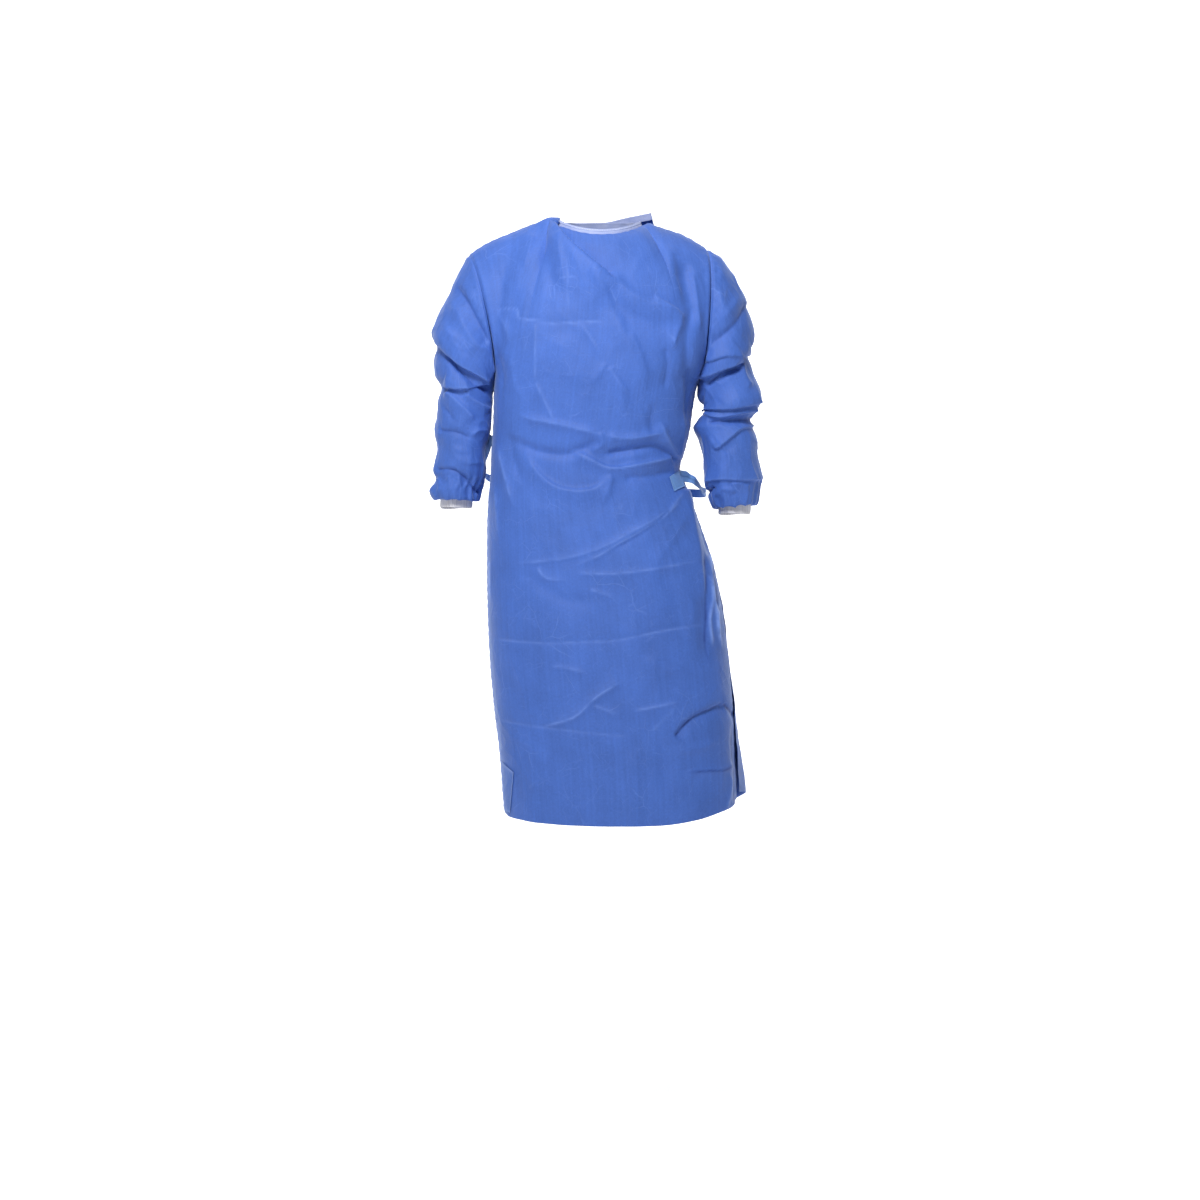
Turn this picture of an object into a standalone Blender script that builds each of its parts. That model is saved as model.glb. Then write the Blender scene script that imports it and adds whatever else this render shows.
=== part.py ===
"""A disposable surgical gown, standing open as it does when worn.

Metres, +Z up, the wearer facing -Y, their left side at +X. The origin is where the wearer's neck
and shoulders carry the gown: on the middle of the neck, level with the base of the neckline.
Every piece is a thin wall between an outer and an inner grid of points. Pieces that are sewn
together share the points of their seam, and each is drawn back from it by half of the seam gap.
"""

import math
from collections import defaultdict, namedtuple

import bmesh
import bpy
from mathutils import Vector
from mathutils.bvhtree import BVHTree

MM = 0.001
CLOTH_WALL = 1.8 * MM
BINDING_WALL = 2.4 * MM
KNIT_WALL = 1.6 * MM
TIE_WALL = 1.6 * MM
PATCH_WALL = 1.0 * MM
SEAM_GAP = 0.5 * MM
LAID_GAP = 0.4 * MM

# Columns and rows of the grids.
SHOULDER_COLUMNS = 6
FRONT_NECK_COLUMNS = 12
WING_NECK_COLUMNS = 14
UNDERWING_NECK_COLUMNS = 6
ARMHOLE_ROWS = 10
SLEEVE_COLUMNS = 2 * ARMHOLE_ROWS

ROUNDNESS = 2.5
NECK_SPREAD = 1.5
SHARPEST_MITRE = 0.6
UNDERWING_TUCK = 7
WING_LAP = 7
ARMPIT_HEIGHT = -268
NECK_HALF_WIDTH = 78
NECK_FRONT_DEPTH = 84

# One row for each level of the body, in millimetres. right and left are the side seams, wing_left
# is how far the outer back wing reaches, front and back are the depths at the middle.
BodyRow = namedtuple("BodyRow", "height right left wing_left front back")
BODY = (
    BodyRow(-1062, -167, 248, 268, 150, 150),
    BodyRow(-995, -172, 249, 268, 149, 150),
    BodyRow(-941, -176, 246, 261, 147, 148),
    BodyRow(-869, -185, 243, 252, 144, 146),
    BodyRow(-770, -194, 234, 243, 139, 141),
    BodyRow(-680, -198, 223, 232, 134, 136),
    BodyRow(-590, -199, 205, 213, 129, 129),
    BodyRow(-509, -198, 177, 185, 123, 120),
    BodyRow(-455, -194, 157, 164, 119, 114),
    BodyRow(-428, -192, 147, 154, 118, 112),
    BodyRow(-395, -191, 155, 162, 121, 113),
    BodyRow(-365, -189, 163, 170, 125, 115),
    BodyRow(-311, -187, 171, 178, 131, 117),
    BodyRow(ARMPIT_HEIGHT, -187, 179, 186, 133, 117),
)
# The nominal heights of the body's rows below the armpit, closer at the waist where the folds are.
ROW_HEIGHTS = (-1062, -1000, -940, -880, -820, -760, -700, -645, -595, -550, -510, -476, -446,
               -416, -386, -358, -330, -302, ARMPIT_HEIGHT)
# Heights of the hem along each half of the body, from the right side seam to the left.
FRONT_HEM = (-1036, -1046, -1050, -1054, -1057, -1058, -1056, -1048, -1037, -1029, -1019)
BACK_HEM = (-1036, -1046, -1046, -1042, -1032, -1019)
WING_HEM = (-1036, -1048, -1050, -1044, -1032, -1006)

# The shoulder seams, from the armhole to the neck: sideways place and height.
RIGHT_SHOULDER = ((-234, -43), (-203, -23), (-160, -5), (-122, 9), (-100, 17), (-88, 19), (-78, 12))
LEFT_SHOULDER = ((194, -32), (172, -17), (148, -5), (124, 3), (104, 9), (90, 14), (78, 9))
# The necklines: sideways place, depth and height.
FRONT_NECK_HEIGHTS = (12, 3, -14, -25, -29, -26, -16, -2, 9)
UNDERWING_NECK = ((78, 0, 9), (71, 33, 12), (50, 60, 15), (22, 74, 17), (-6, 77, 17), (-34, 72, 16))
WING_NECK = ((-78, 0, 12), (-74, 36, 13), (-54, 68, 16), (-22, 87, 18), (16, 91, 20), (52, 84, 23),
             (98, 66, 29))
BINDING_WIDTH = 9.5
BINDING_LEAN = 3.0

# How much of the back each wing covers, as a share from the right side seam to the left.
WING_REACH = ((-1062, 1.0), (-770, 0.97), (-590, 0.92), (-428, 0.86), (ARMPIT_HEIGHT, 0.80))
UNDERWING_START = ((-1062, 0.34), (ARMPIT_HEIGHT, 0.38))

# One row for each ring of a sleeve, in millimetres. outer and inner are the ring's far and near
# points seen from the front, front and back its depths, bow how far its front half leans left.
SleeveRow = namedtuple("SleeveRow", "outer_x outer_z inner_x inner_z front back bow waves")
RIGHT_SLEEVE = (
    SleeveRow(-234, -43, -187, ARMPIT_HEIGHT, 72, 72, 13, 0),
    SleeveRow(-258, -88, -198, -270, 73, 70, 10, 0),
    SleeveRow(-276, -126, -201, -276, 71, 68, 4, 0),
    SleeveRow(-297, -172, -201, -284, 66, 66, 0, 0),
    SleeveRow(-286, -203, -200, -293, 55, 57, 0, 0),
    SleeveRow(-294, -228, -200, -300, 61, 61, 0, 0),
    SleeveRow(-293, -256, -201, -307, 60, 60, 0, 0),
    SleeveRow(-279, -280, -208, -315, 49, 52, 0, 0),
    SleeveRow(-287, -308, -204, -330, 55, 57, 0, 0),
    SleeveRow(-291, -338, -199, -350, 57, 58, 0, 0),
    SleeveRow(-295, -364, -198, -368, 57, 57, 0, 0),
    SleeveRow(-288, -392, -203, -392, 52, 52, 0, 0),
    SleeveRow(-297, -428, -201, -428, 55, 52, 0, 0.5),
    SleeveRow(-291, -447, -206, -449, 47, 46, 0, 1.5),
    SleeveRow(-302, -464, -211, -466, 48, 46, 0, 2.0),
    SleeveRow(-296, -479, -215, -484, 43, 41, 0, 1.5),
    SleeveRow(-287, -477, -224, -481, 34, 33, 0, 0.5),
    SleeveRow(-285, -462, -226, -465, 31, 31, 0, 0),
)
LEFT_SLEEVE = (
    SleeveRow(194, -32, 179, ARMPIT_HEIGHT, 72, 72, 13, 0),
    SleeveRow(222, -50, 190, -270, 73, 72, 10, 0),
    SleeveRow(246, -83, 195, -275, 72, 72, 5, 0),
    SleeveRow(266, -118, 196, -284, 70, 70, 0, 0),
    SleeveRow(278, -160, 197, -290, 67, 67, 0, 0),
    SleeveRow(280, -196, 197, -297, 62, 64, 0, 0),
    SleeveRow(267, -221, 194, -305, 54, 60, 0, 0),
    SleeveRow(278, -252, 188, -315, 59, 64, 0, 0),
    SleeveRow(293, -290, 181, -327, 60, 68, 0, 0),
    SleeveRow(287, -318, 177, -340, 56, 70, 0, 0),
    SleeveRow(272, -342, 176, -354, 50, 70, 0, 0),
    SleeveRow(284, -368, 181, -376, 55, 68, 0, 0),
    SleeveRow(287, -398, 190, -404, 56, 58, 0, 0),
    SleeveRow(292, -432, 191, -434, 54, 50, 0, 0.5),
    SleeveRow(292, -454, 193, -457, 49, 46, 0, 1.0),
    SleeveRow(286, -489, 207, -495, 43, 41, 0, 1.0),
    SleeveRow(277, -489, 215, -493, 34, 33, 0, 0.5),
    SleeveRow(275, -475, 216, -478, 30, 31, 0, 0),
)
CUFF_WAVES = 10
CUFF_LAP = 10
CUFF_SHOWN = 13
CUFF_COLUMNS = 20

# The largest folds of the front, as paths on its own plane in millimetres. A fold stands out by
# height. It dies away over steep on the left of its path and over gentle on the right, and over
# fade_in and fade_out at its ends.
Fold = namedtuple("Fold", "path height steep gentle fade_in fade_out")
FRONT_FOLDS = (
    Fold(((-80, 26), (-50, -13), (-7, -49), (34, -85), (76, -122), (158, -155)), 14, 8, 55, 0, 120),
    Fold(((150, -50), (172, -145)), -5, 18, 24, 30, 40),
    Fold(((-142, -331), (-60, -350), (11, -365), (117, -362)), 8, 20, 18, 50, 60),
    Fold(((-167, -369), (-107, -395), (-47, -398), (11, -372)), -8, 20, 20, 40, 50),
    Fold(((-126, -407), (-65, -462), (-7, -464), (23, -427), (76, -419), (140, -412)), 11, 20, 26,
         50, 30),
    Fold(((175, -455), (94, -522), (2, -567), (-90, -594), (-160, -598)), 10, 34, 22, 20, 90),
    Fold(((130, -493), (47, -554), (-36, -605)), -8, 24, 20, 40, 60),
    Fold(((-178, -380), (-152, -496)), 6, 20, 24, 30, 40),
    Fold(((232, -860), (238, -1060)), -8, 14, 14, 60, 0),
)
# How many columns and rows it takes for a fold to reach its height beside a seam.
SEAM_CALM = 2
NECK_CALM = 2

# The light blue patch that holds the front tie, and the paler turned-up corner at the hem: their
# corners seen from the front, from the lower right of the wearer round to the upper right.
PATCH = ((133, -466), (149, -453), (145, -427), (125, -443))
HEM_CORNER = ((-163, -1037), (-155, -1040), (-148, -967), (-171, -950))
OUTSIDE = 400
LAID_LIFT = 2.2

# The centre lines of the ties, from the gown to the knot behind it, and the loose ends below it.
LEFT_TIE = ((155.4, -24, -436.5), (176, -8, -450), (189, 36, -463), (197, 78, -474), (186, 122, -478),
            (132, 151, -470), (70, 160, -462), (18.5, 165, -458))
RIGHT_TIE = ((-194, 16, -364), (-204, 44, -392), (-212, 84, -424), (-196, 122, -440),
             (-140, 148, -450), (-70, 160, -455), (-15.9, 165, -457))
LEFT_TAIL = ((9, 166, -467.7), (22, 168, -520), (28, 166, -580), (34, 168, -640))
RIGHT_TAIL = ((-8, 166, -467.5), (-20, 169, -515), (-30, 167, -570), (-33, 169, -615))
LEFT_TIE_WIDTHS = (22, 15, 13, 14, 15, 15, 15, 14)
RIGHT_TIE_WIDTHS = (20, 16, 14, 15, 15, 15, 14)
TAIL_WIDTHS = (14, 15, 15, 16)
TIE_ROWS = 26
TAIL_ROWS = 10
KNOT_SIZE = (34, 13, 24)
KNOT_CENTRE = (1, 166, -458)

COLOURS = {
    "gown_cloth": (0.055, 0.125, 0.50, 1),
    "binding": (0.38, 0.45, 0.72, 1),
    "knit": (0.82, 0.82, 0.86, 1),
    "tie": (0.11, 0.30, 0.60, 1),
    "pale_cloth": (0.18, 0.28, 0.62, 1),
}
ROUGHNESS = {"gown_cloth": 0.62, "binding": 0.7, "knit": 0.9, "tie": 0.5, "pale_cloth": 0.4}


def clear_scene():
    """Removes whatever the scene starts with."""
    for obj in list(bpy.data.objects):
        bpy.data.objects.remove(obj)


def lerp(a, b, share):
    """The value a share of the way from a to b."""
    return a + (b - a) * share


def smooth_curve(points, share):
    """A point at a share, 0 to 1, of a smooth curve through evenly spaced points or numbers."""
    last = len(points) - 1
    place = min(max(share, 0.0), 1.0) * last
    i = min(int(place), last - 1)
    t = place - i
    before, a, b, after = (points[min(max(k, 0), last)] for k in (i - 1, i, i + 1, i + 2))
    if not isinstance(a, (int, float)):
        return Vector([cubic(*four, t) for four in zip(before, a, b, after)])
    return cubic(before, a, b, after, t)


def cubic(before, a, b, after, t):
    """The Catmull-Rom value between a and b."""
    return 0.5 * (2 * a + (b - before) * t + (2 * before - 5 * a + 4 * b - after) * t ** 2
                  + (3 * a - before - 3 * b + after) * t ** 3)


def by_height(rows, height):
    """The row of a table, whose first column is a height, worked out at any height."""
    low, high = rows[0][0], rows[-1][0]
    height = min(max(height, low), high)
    for below, above in zip(rows, rows[1:]):
        if height <= above[0]:
            t = (height - below[0]) / (above[0] - below[0])
            t = t * t * (3 - 2 * t) * 0.5 + t * 0.5
            return [lerp(a, b, t) for a, b in zip(below, above)]
    return list(rows[-1])


def round_off(share):
    """How far a half ring stands out at a share of its width: 0 at the side seams, 1 at the middle."""
    return abs(math.sin(math.pi * share)) ** (2 / ROUNDNESS)


def ring_x(right, left, share):
    """The sideways place on a half ring at a share from the right side seam to the left."""
    c = -math.cos(math.pi * share)
    return (right + left) / 2 + (left - right) / 2 * math.copysign(abs(c) ** (2 / ROUNDNESS), c)


def body_point(height, share, half):
    """A point of the body below the armpits. half is front, back or wing."""
    _, right, left, wing_left, front, back = by_height(BODY, height)
    if half == "front":
        return Vector((ring_x(right, left, share), -front * round_off(share), height))
    if half == "back":
        return Vector((ring_x(right, left, share), back * round_off(share), height))
    lap = WING_LAP * min(1.0, share / 0.12)
    return Vector((ring_x(right, wing_left, share), (back + lap) * round_off(share), height))


def neck_edge(part, share):
    """A point of a neckline: the front's, the wing's from the right, the underwing's from the left."""
    if part == "wing":
        return smooth_curve(WING_NECK, share)
    if part == "underwing":
        return smooth_curve(UNDERWING_NECK, share)
    turn = math.pi * (share - 0.5)
    return Vector((NECK_HALF_WIDTH * math.sin(turn), -NECK_FRONT_DEPTH * math.cos(turn),
                   smooth_curve(FRONT_NECK_HEIGHTS, share)))


def shoulder_edge(side, share):
    """A point of a shoulder seam, from the armhole at 0 to the neck at 1."""
    x, z = smooth_curve(RIGHT_SHOULDER if side == "right" else LEFT_SHOULDER, share)
    return Vector((x, 0, z))


def sleeve_ring(row, turn, forward):
    """A point on a sleeve's ring. turn is 0 at the outer point and pi at the inner one."""
    outer = Vector((row.outer_x, 0, row.outer_z))
    inner = Vector((row.inner_x, 0, row.inner_z))
    depth = -row.front if forward else row.back
    point = (outer + inner) / 2 + (outer - inner) / 2 * math.cos(turn)
    lean = row.bow if forward else 0
    return point + Vector((lean * math.sin(turn), depth * math.sin(turn), 0))


def armhole_edge(side, rise, forward):
    """A point of an armhole at a share of its height above the armpit."""
    rows = RIGHT_SLEEVE if side == "right" else LEFT_SLEEVE
    return sleeve_ring(rows[0], math.acos(2 * rise - 1), forward)


def over_the_chest(base, top, rise, share, edges, depth):
    """A point of a panel above the armpits, between its lowest row and its shoulder and neck edge."""
    turn_in = 1 - math.sqrt(max(0.0, 1 - rise ** 2))
    out = round_off(share)
    x = lerp(base.x, top.x, rise ** (1 + NECK_SPREAD * out)) + edges.x
    y = edges.y * (1 - out) + lerp(depth * out, top.y, turn_in)
    return Vector((x, y, lerp(base.z, top.z, rise)))


def chest_point(part, rise, share, top):
    """A point of the front, wing or underwing above the armpits, at a share across the whole body."""
    forward = part == "front"
    half = {"front": "front", "wing": "wing", "underwing": "back"}[part]
    base = body_point(ARMPIT_HEIGHT, share, half)
    right = armhole_edge("right", rise, forward)
    left = armhole_edge("left", rise, forward)
    bow_right = right.x - lerp(RIGHT_SLEEVE[0].inner_x, RIGHT_SLEEVE[0].outer_x, rise)
    bow_left = left.x - lerp(LEFT_SLEEVE[0].inner_x, LEFT_SLEEVE[0].outer_x, rise)
    edges = Vector((lerp(bow_right, bow_left, share), lerp(right.y, left.y, share), 0))
    middle = body_point(ARMPIT_HEIGHT, 0.5, half).y
    if part == "underwing":
        middle -= UNDERWING_TUCK * min(1.0, rise / 0.3)
    return over_the_chest(base, top, rise, share, edges, middle)


def armhole_rises():
    """The heights of the rows above the armpits, as shares, closer together at both ends."""
    return [(1 - math.cos(math.pi * j / ARMHOLE_ROWS)) / 2 for j in range(1, ARMHOLE_ROWS + 1)]


def low_rows(columns, half, hem, shares):
    """The rows of a panel from its hem to the armpits. shares gives a column's place at a height."""
    rows = []
    low, high = ROW_HEIGHTS[0], ROW_HEIGHTS[-1]
    for nominal in ROW_HEIGHTS:
        row = []
        for i in range(columns + 1):
            share = shares(nominal, i / columns)
            bottom = smooth_curve(hem, share)
            height = lerp(bottom, high, (nominal - low) / (high - low))
            row.append(body_point(height, share, half))
        rows.append(row)
    return rows


def front_grid():
    """The front's outer points, from the hem up and from the right side seam to the left."""
    columns = 2 * SHOULDER_COLUMNS + FRONT_NECK_COLUMNS
    rows = low_rows(columns, "front", FRONT_HEM, lambda height, across: across)
    top = [shoulder_edge("right", i / SHOULDER_COLUMNS) for i in range(SHOULDER_COLUMNS)]
    top += [neck_edge("front", i / FRONT_NECK_COLUMNS) for i in range(FRONT_NECK_COLUMNS)]
    top += [shoulder_edge("left", 1 - i / SHOULDER_COLUMNS) for i in range(SHOULDER_COLUMNS + 1)]
    top[SHOULDER_COLUMNS] = shoulder_edge("right", 1)
    for rise in armhole_rises():
        rows.append([chest_point("front", rise, i / columns, top[i]) for i in range(columns + 1)])
    rows[-1] = top
    return folded(rows)


def wing_grid():
    """The outer back wing's outer points, from the right side seam to its free edge."""
    columns = SHOULDER_COLUMNS + WING_NECK_COLUMNS
    reach = lambda height, across: across * by_height(WING_REACH, height)[1]
    rows = low_rows(columns, "wing", WING_HEM, reach)
    top = [shoulder_edge("right", i / SHOULDER_COLUMNS) for i in range(SHOULDER_COLUMNS)]
    top += [neck_edge("wing", i / WING_NECK_COLUMNS) for i in range(WING_NECK_COLUMNS + 1)]
    top[SHOULDER_COLUMNS] = shoulder_edge("right", 1)
    for rise in armhole_rises():
        rows.append([chest_point("wing", rise, reach(ARMPIT_HEIGHT, i / columns), top[i])
                     for i in range(columns + 1)])
    rows[-1] = top
    return rows


def underwing_grid():
    """The inner back wing's outer points, from its free edge to the left side seam."""
    columns = SHOULDER_COLUMNS + UNDERWING_NECK_COLUMNS
    start = lambda height, across: lerp(by_height(UNDERWING_START, height)[1], 1, across)
    rows = low_rows(columns, "back", BACK_HEM, start)
    top = [neck_edge("underwing", 1 - i / UNDERWING_NECK_COLUMNS)
           for i in range(UNDERWING_NECK_COLUMNS)]
    top += [shoulder_edge("left", 1 - i / SHOULDER_COLUMNS) for i in range(SHOULDER_COLUMNS + 1)]
    for rise in armhole_rises():
        rows.append([chest_point("underwing", rise, start(ARMPIT_HEIGHT, i / columns), top[i])
                     for i in range(columns + 1)])
    rows[-1] = top
    return rows


def fold_height(x, z):
    """How far the large folds stand out at a place on the front's plane."""
    here = Vector((x, z))
    out = 0.0
    for fold in FRONT_FOLDS:
        path = [Vector(point) for point in fold.path]
        lengths = [(b - a).length for a, b in zip(path, path[1:])]
        nearest, gone, aside, done = math.inf, 0.0, 0.0, 0.0
        for a, b, length in zip(path, path[1:], lengths):
            way = (b - a) / length
            t = min(max((here - a).dot(way), 0), length)
            off = here - a - way * t
            if off.length < nearest:
                nearest, gone = off.length, done + t
                aside = math.copysign(off.length, way.x * off.y - way.y * off.x)
            done += length
        reach = fold.steep if aside > 0 else fold.gentle
        ends = ease(gone, fold.fade_in) * ease(done - gone, fold.fade_out)
        out += fold.height * ends * math.exp(-(aside / reach) ** 2)
    return out


def ease(distance, length):
    """A smooth rise from 0 at no distance to 1 at a length."""
    t = min(distance / length, 1.0) if length else 1.0
    return t * t * (3 - 2 * t)


def folded(grid):
    """The front's points moved out by its large folds, which fade at its seams."""
    ways = piece_normals(grid, False)
    last_row, last_column = len(grid) - 1, len(grid[0]) - 1
    rows = []
    for j, row in enumerate(grid):
        rows.append([])
        for i, point in enumerate(row):
            calm = ease(min(i, last_column - i), SEAM_CALM) * ease(last_row - j, NECK_CALM)
            rows[-1].append(point + ways[key(point)] * fold_height(point.x, point.z) * calm)
    return rows


def sleeve_grid(rows):
    """A sleeve's outer points, ring by ring from the armhole, closed round."""
    grid = []
    half = SLEEVE_COLUMNS // 2
    for number, row in enumerate(rows):
        ring = []
        for i in range(SLEEVE_COLUMNS):
            forward = i <= half
            turn = math.pi * (i if forward else SLEEVE_COLUMNS - i) / half
            point = sleeve_ring(row, turn, forward)
            if number:
                centre = Vector(((row.outer_x + row.inner_x) / 2, 0, point.z))
                wave = row.waves * math.cos(2 * math.pi * CUFF_WAVES * i / SLEEVE_COLUMNS)
                point += (point - centre).normalized() * wave
            ring.append(point)
        grid.append(ring)
    return grid


def cuff_grid(rows):
    """A knitted cuff's outer points: a tube that laps inside the sleeve's turned-in end."""
    last = rows[-1]
    inset = LAID_GAP / MM
    centre = Vector(((last.outer_x + last.inner_x) / 2, (last.back - last.front) / 2, 0))
    wide = abs(last.outer_x - last.inner_x) / 2 - inset
    deep = (last.front + last.back) / 2 - inset
    top = min(last.outer_z, last.inner_z) + CUFF_LAP / 2
    bottom = min(row.inner_z for row in rows) - CUFF_SHOWN
    grid = []
    for height in (bottom, lerp(top, bottom, 0.7), lerp(top, bottom, 0.35), top):
        ring = []
        for i in range(CUFF_COLUMNS):
            turn = 2 * math.pi * i / CUFF_COLUMNS
            ring.append(Vector((centre.x - wide * math.cos(turn),
                                centre.y - deep * math.sin(turn), height)))
        grid.append(ring)
    return grid


def binding_grid(front_top, wing_top, underwing_top):
    """The neck binding's points: one strip from the underwing, round the front, to the wing's tab."""
    under = underwing_top[:UNDERWING_NECK_COLUMNS + 1]
    front = front_top[SHOULDER_COLUMNS:SHOULDER_COLUMNS + FRONT_NECK_COLUMNS + 1][::-1]
    wing = wing_top[SHOULDER_COLUMNS:]
    lower = under + front[1:] + wing[1:]
    rows = [lower]
    for share in (0.5, 1.0):
        rows.append([p + Vector((-p.x, -p.y, 0)).normalized() * BINDING_LEAN * share
                     + Vector((0, 0, BINDING_WIDTH * share)) for p in lower])
    return rows


def laid_on_front(corners, columns, rows, lift, front):
    """Points spread between four corners seen from the front, laid on its faces and moved out."""
    tree = BVHTree.FromObject(front, bpy.context.evaluated_depsgraph_get())
    grid = []
    for j in range(rows + 1):
        row = []
        for i in range(columns + 1):
            low = Vector(corners[0]).lerp(Vector(corners[1]), i / columns)
            high = Vector(corners[3]).lerp(Vector(corners[2]), i / columns)
            x, z = low.lerp(high, j / rows)
            place, normal, _, _ = tree.ray_cast(Vector((x, -OUTSIDE, z)) * MM, Vector((0, 1, 0)))
            row.append(place / MM + normal * lift)
        grid.append(row)
    return grid


def ribbon_grid(route, rows, widths):
    """A flat tie's outer points along a smooth route, its face turned away from the gown's middle."""
    grid = []
    for j in range(rows + 1):
        here = smooth_curve(route, j / rows)
        ahead = smooth_curve(route, (j + 0.5) / rows) - smooth_curve(route, (j - 0.5) / rows)
        out = Vector((here.x, here.y, 0)).normalized()
        across = ahead.cross(out).normalized() * smooth_curve(widths, j / rows) / 2
        grid.append([here - across, here, here + across])
    return grid


def piece_normals(grid, closed):
    """The unit normal at each of a piece's points, from the faces round it."""
    sums = defaultdict(Vector)
    wide = len(grid[0])
    for lower, upper in zip(grid, grid[1:]):
        for i in range(wide if closed else wide - 1):
            k = (i + 1) % wide
            corners = (lower[i], lower[k], upper[k], upper[i])
            normal = (corners[2] - corners[0]).cross(corners[3] - corners[1])
            for p in corners:
                sums[key(p)] += normal
    return {place: normal.normalized() for place, normal in sums.items()}


def seam_ways(grids, closed):
    """The way out at each point of the pieces: where pieces meet, the way between their normals."""
    meeting = defaultdict(list)
    for name, grid in grids.items():
        for place, normal in piece_normals(grid, name in closed).items():
            meeting[place].append(normal)
    ways = {}
    for place, normals in meeting.items():
        way = sum(normals, Vector()).normalized()
        facing = sum(way.dot(normal) for normal in normals) / len(normals)
        ways[place] = way / max(SHARPEST_MITRE, facing)
    return ways


def key(point):
    """A point rounded, to find the same point in another piece."""
    return tuple(round(c, 2) for c in point)


def drawn_back(grid, row, column, seams, closed):
    """The way in from a seam at a grid point, square to the seam, or no way where it is on none."""
    last_row, last_column = len(grid) - 1, len(grid[0]) - 1
    here, way = grid[row][column], Vector()
    after = grid[row][(column + 1) % (last_column + 1) if closed else min(column + 1, last_column)]
    before = grid[row][(column - 1) if closed else max(column - 1, 0)]
    across = after - before
    up = grid[min(row + 1, last_row)][column] - grid[max(row - 1, 0)][column]
    if "bottom" in seams and row == 0:
        way += square_to(grid[1][column] - here, across)
    if "top" in seams and row == last_row:
        way += square_to(grid[row - 1][column] - here, across)
    if "start" in seams and column == 0:
        way += square_to(grid[row][1] - here, up)
    if "end" in seams and column == last_column:
        way += square_to(grid[row][column - 1] - here, up)
    return way


def square_to(way, along):
    """The part of a way that is square to another, of length one."""
    return (way - along * way.dot(along) / along.length_squared).normalized()


def wall_mesh(grid, ways, thickness, seams=(), closed=False):
    """A closed wall between a grid of outer points and the same points moved in by its thickness."""
    rows, columns = len(grid), len(grid[0])
    mesh = bmesh.new()
    outer, inner = [], []
    for j in range(rows):
        outer.append([])
        inner.append([])
        for i in range(columns):
            back = drawn_back(grid, j, i, seams, closed) * SEAM_GAP / MM / 2
            point = grid[j][i] + back
            outer[j].append(mesh.verts.new(point * MM))
            way_in = ways[key(grid[j][i])] * thickness / MM
            inner[j].append(mesh.verts.new((point - way_in) * MM))
    for j in range(rows - 1):
        for i in range(columns if closed else columns - 1):
            k = (i + 1) % columns
            add_pair(mesh, outer, inner, (j, i), (j, k), (j + 1, k), (j + 1, i))
    add_rims(mesh, outer, inner, closed)
    bmesh.ops.recalc_face_normals(mesh, faces=mesh.faces[:])
    return mesh


def add_pair(mesh, outer, inner, a, b, c, d):
    """Two triangles outside and two inside, split along the same diagonal."""
    at = lambda grid, place: grid[place[0]][place[1]]
    one = (at(outer, a).co - at(outer, c).co).length
    other = (at(outer, b).co - at(outer, d).co).length
    triangles = ((a, b, c), (a, c, d)) if one <= other else ((a, b, d), (b, c, d))
    for triangle in triangles:
        mesh.faces.new([at(outer, place) for place in triangle])
        mesh.faces.new([at(inner, place) for place in reversed(triangle)])


def add_rims(mesh, outer, inner, closed):
    """The narrow faces that join the outer and inner grids along their open edges."""
    last_row, last_column = len(outer) - 1, len(outer[0]) - 1
    around = last_column + 1 if closed else last_column
    edges = []
    for i in range(around):
        k = (i + 1) % (last_column + 1)
        edges += [((0, i), (0, k)), ((last_row, k), (last_row, i))]
    if not closed:
        for j in range(last_row):
            edges += [((j + 1, 0), (j, 0)), ((j, last_column), (j + 1, last_column))]
    for (j, i), (m, k) in edges:
        a, b, c, d = outer[j][i], inner[j][i], inner[m][k], outer[m][k]
        across = (a.co - c.co).length <= (b.co - d.co).length
        for triangle in ((a, b, c), (a, c, d)) if across else ((a, b, d), (b, c, d)):
            mesh.faces.new(triangle)


def material(slot):
    """The plain material of a slot, made once."""
    found = bpy.data.materials.get(slot)
    if found:
        return found
    made = bpy.data.materials.new(slot)
    made.use_nodes = True
    shader = made.node_tree.nodes["Principled BSDF"]
    shader.inputs["Base Color"].default_value = COLOURS[slot]
    shader.inputs["Roughness"].default_value = ROUGHNESS[slot]
    shader.inputs["Metallic"].default_value = 0.0
    return made


def add_node(collection, name, mesh, slot):
    """Puts a mesh in the gown's collection as a named piece with its material."""
    data = bpy.data.meshes.new(name)
    mesh.to_mesh(data)
    mesh.free()
    data.materials.append(material(slot))
    data.shade_smooth()
    data.set_sharp_from_angle(angle=math.radians(50))
    obj = bpy.data.objects.new(name, data)
    collection.objects.link(obj)
    return obj


def knot_mesh():
    """The soft knot of the ties: a rounded block, narrower in its middle."""
    mesh = bmesh.new()
    bmesh.ops.create_uvsphere(mesh, u_segments=16, v_segments=8, radius=1)
    wide, deep, high = (size / 2 for size in KNOT_SIZE)
    for vertex in mesh.verts:
        x, y, z = vertex.co
        pinch = 0.8 + 0.2 * abs(x)
        vertex.co = (Vector((x * wide, y * deep, z * high * pinch)) + Vector(KNOT_CENTRE)) * MM
    return mesh


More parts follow.
